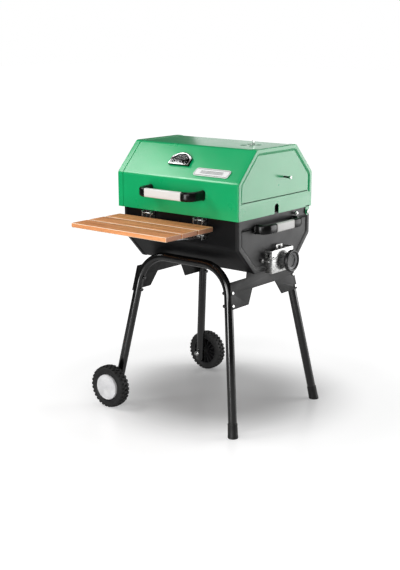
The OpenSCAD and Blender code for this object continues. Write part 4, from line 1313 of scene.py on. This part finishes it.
class GRILL_OT_wheels(bpy.types.Operator):
    """Two wheels with treaded tyres, ribbed rims and hubcaps, and their axle bolts"""

    bl_idname = "grill.wheels"
    bl_label = "Wheels"

    def execute(self, context):
        low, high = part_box("wheel_front_tyre")
        self.width = high.y - low.y + 0.002
        self.radius = (high.z - low.z) / 2
        self.place = Vector(((low.x + high.x) / 2, high.y + 0.001, (low.z + high.z) / 2))
        self.out = Vector((0, -1, 0))
        front = {"tyre": self.tyre(), "rim": self.rim(), "hubcap": self.hubcap()}
        finish = {"tyre": tyre_rubber(), "rim": wheel_plastic(), "hubcap": hubcap_grey()}
        for part, piece in front.items():
            rear = flipped(piece, "rear_" + part, 1, MID.y)
            piece.name = "front_" + part
            done(piece, finish[part], "wheel_front", "wheel_front_" + part)
            done(rear, finish[part], "wheel_rear", "wheel_rear_" + part)
        refined("axle_bolts", "axles", zinc_plate(), "grill", 0.0008)
        return {"FINISHED"}

    def tyre(self):
        w, r = self.width, self.radius
        wall = [(0.0575, 0.0040), (0.0600, 0.0022), (0.0670, 0.0010), (r - 0.0085, 0.0016),
                (r - 0.0062, 0.0036), (r - 0.0054, 0.0070)]
        profile = wall + [(r - 0.0050, w * 0.5)] + [(radius, w - height) for radius, height in reversed(wall)]
        tyre = turned("tyre", profile, 128, self.place, self.out, closed=True)
        lugs = [tyre]
        count = sizes().lugs
        rows = (0.0022, 0.0155), (0.0170, w - 0.0170), (w - 0.0155, w - 0.0022)
        for row, (near, far) in enumerate(rows):
            lug = block("lug", (r - 0.0065, -0.0048, near), (r, 0.0048, far))
            edit(lug)
            outer = far if row == 2 else near
            if row != 1:
                pick("VERT", lambda v: v.co.x > r - 0.001 and abs(v.co.z - outer) < 0.0005)
                bpy.ops.transform.translate(value=(-0.0028, 0, 0))
            leave()
            soften(lug, 0.0006, 1, 30)
            if row == 1:
                moved(lug, Matrix.Rotation(math.pi / count, 4, "Z"))
            moved(lug, Matrix.Translation(self.place) @ facing(self.out))
            lugs.append(around(lug, count, self.place, self.out))
        return join("tyre", lugs)

    def rim(self):
        w = self.width
        barrel = [(0.0545, 0.0045), (0.0578, 0.0035), (0.0578, w - 0.0035), (0.0545, w - 0.0045)]
        web = [(0.0560, w - 0.0130), (0.0560, w - 0.0090), (0.0210, w - 0.0090), (0.0200, w - 0.0100),
               (0.0065, w - 0.0100), (0.0065, w - 0.0130)]
        hub = [(0.0064, 0.0002), (0.0132, 0.0002), (0.0140, 0.0012), (0.0146, w - 0.0120),
               (0.0064, w - 0.0120)]
        rings = [turned(name, profile, sides, self.place, self.out, closed=True) for name, profile, sides
                 in (("rim", barrel, 96), ("rim_web", web, 96), ("rim_hub", hub, 48))]
        rib = block("rim_rib", (0.0120, -0.0012, 0.0085), (0.0556, 0.0012, w - 0.0110))
        edit(rib)
        pick("VERT", lambda v: v.co.x > 0.05 and v.co.z < 0.02)
        bpy.ops.transform.translate(value=(0, 0, -0.0030))
        leave()
        soften(rib, 0.0004, 1, 30)
        moved(rib, Matrix.Translation(self.place) @ facing(self.out))
        return join("rim", rings + [around(rib, 16, self.place, self.out)])

    def hubcap(self):
        w = self.width
        profile = [(0.0475, w - 0.0088), (0.0493, w - 0.0088), (0.0495, w - 0.0010), (0.0487, w + 0.0006),
                   (0.0465, w + 0.0012), (0.0450, w + 0.0006), (0.0437, w + 0.0008), (0.0405, w + 0.0024),
                   (0.0300, w + 0.0034), (0.0180, w + 0.0039), (0.0060, w + 0.0040), (0.0010, w + 0.0040)]
        inner = [(0.0010, w + 0.0020), (0.0425, w - 0.0002), (0.0473, w - 0.0030)]
        return turned("hubcap", profile + inner, 96, self.place, self.out, closed=True)


# ---- shelf ----


class GRILL_OT_shelf(bpy.types.Operator):
    """Three boards with rounded edges, arms, hinge brackets and screws"""

    bl_idname = "grill.shelf"
    bl_label = "Shelf"

    def execute(self, context):
        for part in ("inner", "middle", "outer"):
            cad = "shelf_board_" + part
            low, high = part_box(cad)
            board = block("plank_" + part, low, high)
            edit(board)
            pick("EDGE", lambda e: True)
            bpy.ops.mesh.bevel(offset=sizes().board_edge, segments=4, affect="EDGES", profile=0.5)
            leave()
            for finish in (board_wood(), end_grain(), worn_edge()):
                board.data.materials.append(finish)
            # Rounded edge faces take the pale tone, a painted highlight along the board edges
            for face in board.data.polygons:
                flat = max(abs(n) for n in face.normal) > 0.96
                face.material_index = 1 if abs(face.normal.x) > 0.8 else 0 if flat else 2
            done(board, board_wood(), "shelf", cad)
        channels = refined("shelf_hinge_brackets", "hinge_channels", zinc_plate(), "grill", 0.0006)
        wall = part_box("shelf_hinge_brackets")[1].y - 0.004
        two_tone(channels, None, bracket_coat(), lambda f: f.center.y > wall)
        refined("shelf_hinge_pins", "hinge_bolts", zinc_plate(), "grill", 0.0008)
        refined("shelf_arms", "arm_strips", zinc_plate(), "shelf", 0.0005)
        refined("shelf_screws", "board_screws", zinc_plate(), "shelf", 0.0003)
        return {"FINISHED"}


# ---- stage ----

# Painted light: the floor's glow strength by distance from a point beside the grill, none near it (a painted
# darker patch) and full far off
PAINTED_FLOOR_GLOW = ((0.07, 0.0), (0.25, 0.60), (0.50, 0.85), (1.0, 1.0))


def softbox(name, place, target, size, power):
    """A square studio light aimed at a point."""
    clear_selection()
    bpy.ops.object.light_add(type="AREA", location=place)
    lamp = bpy.context.active_object
    lamp.name = name
    lamp.data.shape = "RECTANGLE"
    lamp.data.size, lamp.data.size_y = size
    lamp.data.energy = power
    lamp.rotation_euler = (Vector(target) - Vector(place)).to_track_quat("-Z", "Y").to_euler()
    lamp.visible_camera = False
    return lamp


class GRILL_OT_stage(bpy.types.Operator):
    """Floor with a painted glow that leaves a painted darker patch around the grill, soft lights and the
    camera
    """

    bl_idname = "grill.stage"
    bl_label = "Stage"

    def execute(self, context):
        self.floor()
        self.world(context)
        target = at(0, 0, 0.70)
        softbox("light_front", at(1.45, -2.9, 1.75), target, (1.5, 1.5), 26)
        softbox("light_slope", at(-1.95, -0.80, 2.45), at(-0.3, -0.2, 0.95), (0.8, 1.1), 13)
        softbox("light_cap", at(2.15, 2.4, 1.15), at(0.28, 0, 0.8), (2.3, 2.3), 64)
        softbox("light_behind", at(-1.36, 2.7, 1.50), at(0.2, 0, 1.0), (1.5, 1.0), 4.0)
        softbox("light_top", at(0.1, 0.3, 3.0), target, (1.5, 1.5), 13)
        softbox("light_shelf", at(-1.2, -1.3, 2.1), at(-0.10, -0.4, 0.75), (0.7, 0.7), 13)
        softbox("light_legs", at(0.30, -3.0, 0.76), at(0, 0, 0.70), (0.9, 1.5), 38)
        self.camera(context)
        return {"FINISHED"}

    def floor(self):
        clear_selection()
        bpy.ops.mesh.primitive_plane_add(size=60, location=(0, 0, 0))
        floor = added("studio_floor")
        material, tree, bsdf = shader("floor_paper", (0.58, 0.58, 0.58), 0.32)
        rough_between(tree, bsdf, 0.30, 0.36, 2)
        # Painted light and shadow: a glow seen only by the camera that grows with distance, so the floor
        # turns white far off and stays darker around the grill
        coords = node(tree, "ShaderNodeTexCoord")
        middle = node(tree, "ShaderNodeVectorMath", operation="SUBTRACT")
        middle.inputs[1].default_value = at(-0.03, 0.08, 0)
        length = node(tree, "ShaderNodeVectorMath", operation="LENGTH")
        span = node(tree, "ShaderNodeMapRange")
        span.inputs["From Max"].default_value = 2.5
        painted_glow_ramp = ramp(tree, [(place, (value,) * 3) for place, value in PAINTED_FLOOR_GLOW])
        painted_glow_ramp.color_ramp.interpolation = "EASE"
        seen = node(tree, "ShaderNodeLightPath")
        glow = node(tree, "ShaderNodeEmission")
        total = node(tree, "ShaderNodeAddShader")
        tree.links.new(coords.outputs["Object"], middle.inputs[0])
        tree.links.new(middle.outputs[0], length.inputs[0])
        tree.links.new(length.outputs["Value"], span.inputs["Value"])
        tree.links.new(span.outputs[0], painted_glow_ramp.inputs["Fac"])
        tree.links.new(painted_glow_ramp.outputs["Color"], glow.inputs["Color"])
        tree.links.new(seen.outputs["Is Camera Ray"], glow.inputs["Strength"])
        tree.links.new(bsdf.outputs[0], total.inputs[0])
        tree.links.new(glow.outputs[0], total.inputs[1])
        tree.links.new(total.outputs[0], tree.nodes["Material Output"].inputs["Surface"])
        floor.data.materials.append(material)

    def world(self, context):
        world = bpy.data.worlds.new("studio_air")
        context.scene.world = world
        world.use_nodes = True
        tree = world.node_tree
        seen = node(tree, "ShaderNodeLightPath")
        strength = node(tree, "ShaderNodeMapRange")
        strength.inputs["To Min"].default_value = 0.08
        strength.inputs["To Max"].default_value = 1.0
        background = tree.nodes["Background"]
        background.inputs["Color"].default_value = (1, 1, 1, 1)
        tree.links.new(seen.outputs["Is Camera Ray"], strength.inputs["Value"])
        tree.links.new(strength.outputs[0], background.inputs["Strength"])

    def camera(self, context):
        azimuth, elevation, distance = math.radians(38.4), math.radians(13.4), 4.0244
        flat = math.cos(elevation)
        back = Vector((math.sin(azimuth) * flat, -math.cos(azimuth) * flat, math.sin(elevation)))
        target = at(-0.010, -0.0002, 0.500)
        clear_selection()
        bpy.ops.object.camera_add(location=target + back * distance)
        camera = bpy.context.active_object
        camera.name = "main_camera"
        camera.rotation_euler = back.to_track_quat("Z", "Y").to_euler()
        camera.data.lens = 65.77
        camera.data.shift_x = -0.0226
        camera.data.shift_y = -0.0133
        camera.data.dof.use_dof = False
        context.scene.camera = camera
        context.scene.view_settings.view_transform = "Standard"


class GRILL_PT_panel(bpy.types.Panel):
    """Buttons for each group of pieces"""

    bl_idname = "GRILL_PT_panel"
    bl_label = "Charcoal Grill"
    bl_space_type = "VIEW_3D"
    bl_region_type = "UI"
    bl_category = "Grill"

    def draw(self, context):
        for group in (context.scene.grill_sizes, context.scene.grill_colours):
            for name in group.__annotations__:
                self.layout.prop(group, name)
        for operator in OPERATORS:
            self.layout.operator(operator.bl_idname)


OPERATORS = (GRILL_OT_hood, GRILL_OT_handles, GRILL_OT_thermometer, GRILL_OT_hood_trim, GRILL_OT_bowl,
             GRILL_OT_lift, GRILL_OT_grates, GRILL_OT_stand, GRILL_OT_wheels, GRILL_OT_shelf,
             GRILL_OT_stage)
CLASSES = (GrillSizes, GrillColours) + OPERATORS + (GRILL_PT_panel,)


def register():
    for item in CLASSES:
        bpy.utils.register_class(item)
    bpy.types.Scene.grill_sizes = bpy.props.PointerProperty(type=GrillSizes)
    bpy.types.Scene.grill_colours = bpy.props.PointerProperty(type=GrillColours)


def unregister():
    del bpy.types.Scene.grill_colours
    del bpy.types.Scene.grill_sizes
    for item in reversed(CLASSES):
        bpy.utils.unregister_class(item)


def main():
    register()
    for operator in OPERATORS:
        name = operator.bl_idname.split(".")[1]
        getattr(bpy.ops.grill, name)()
    clear_selection()


if __name__ == "__main__":
    main()
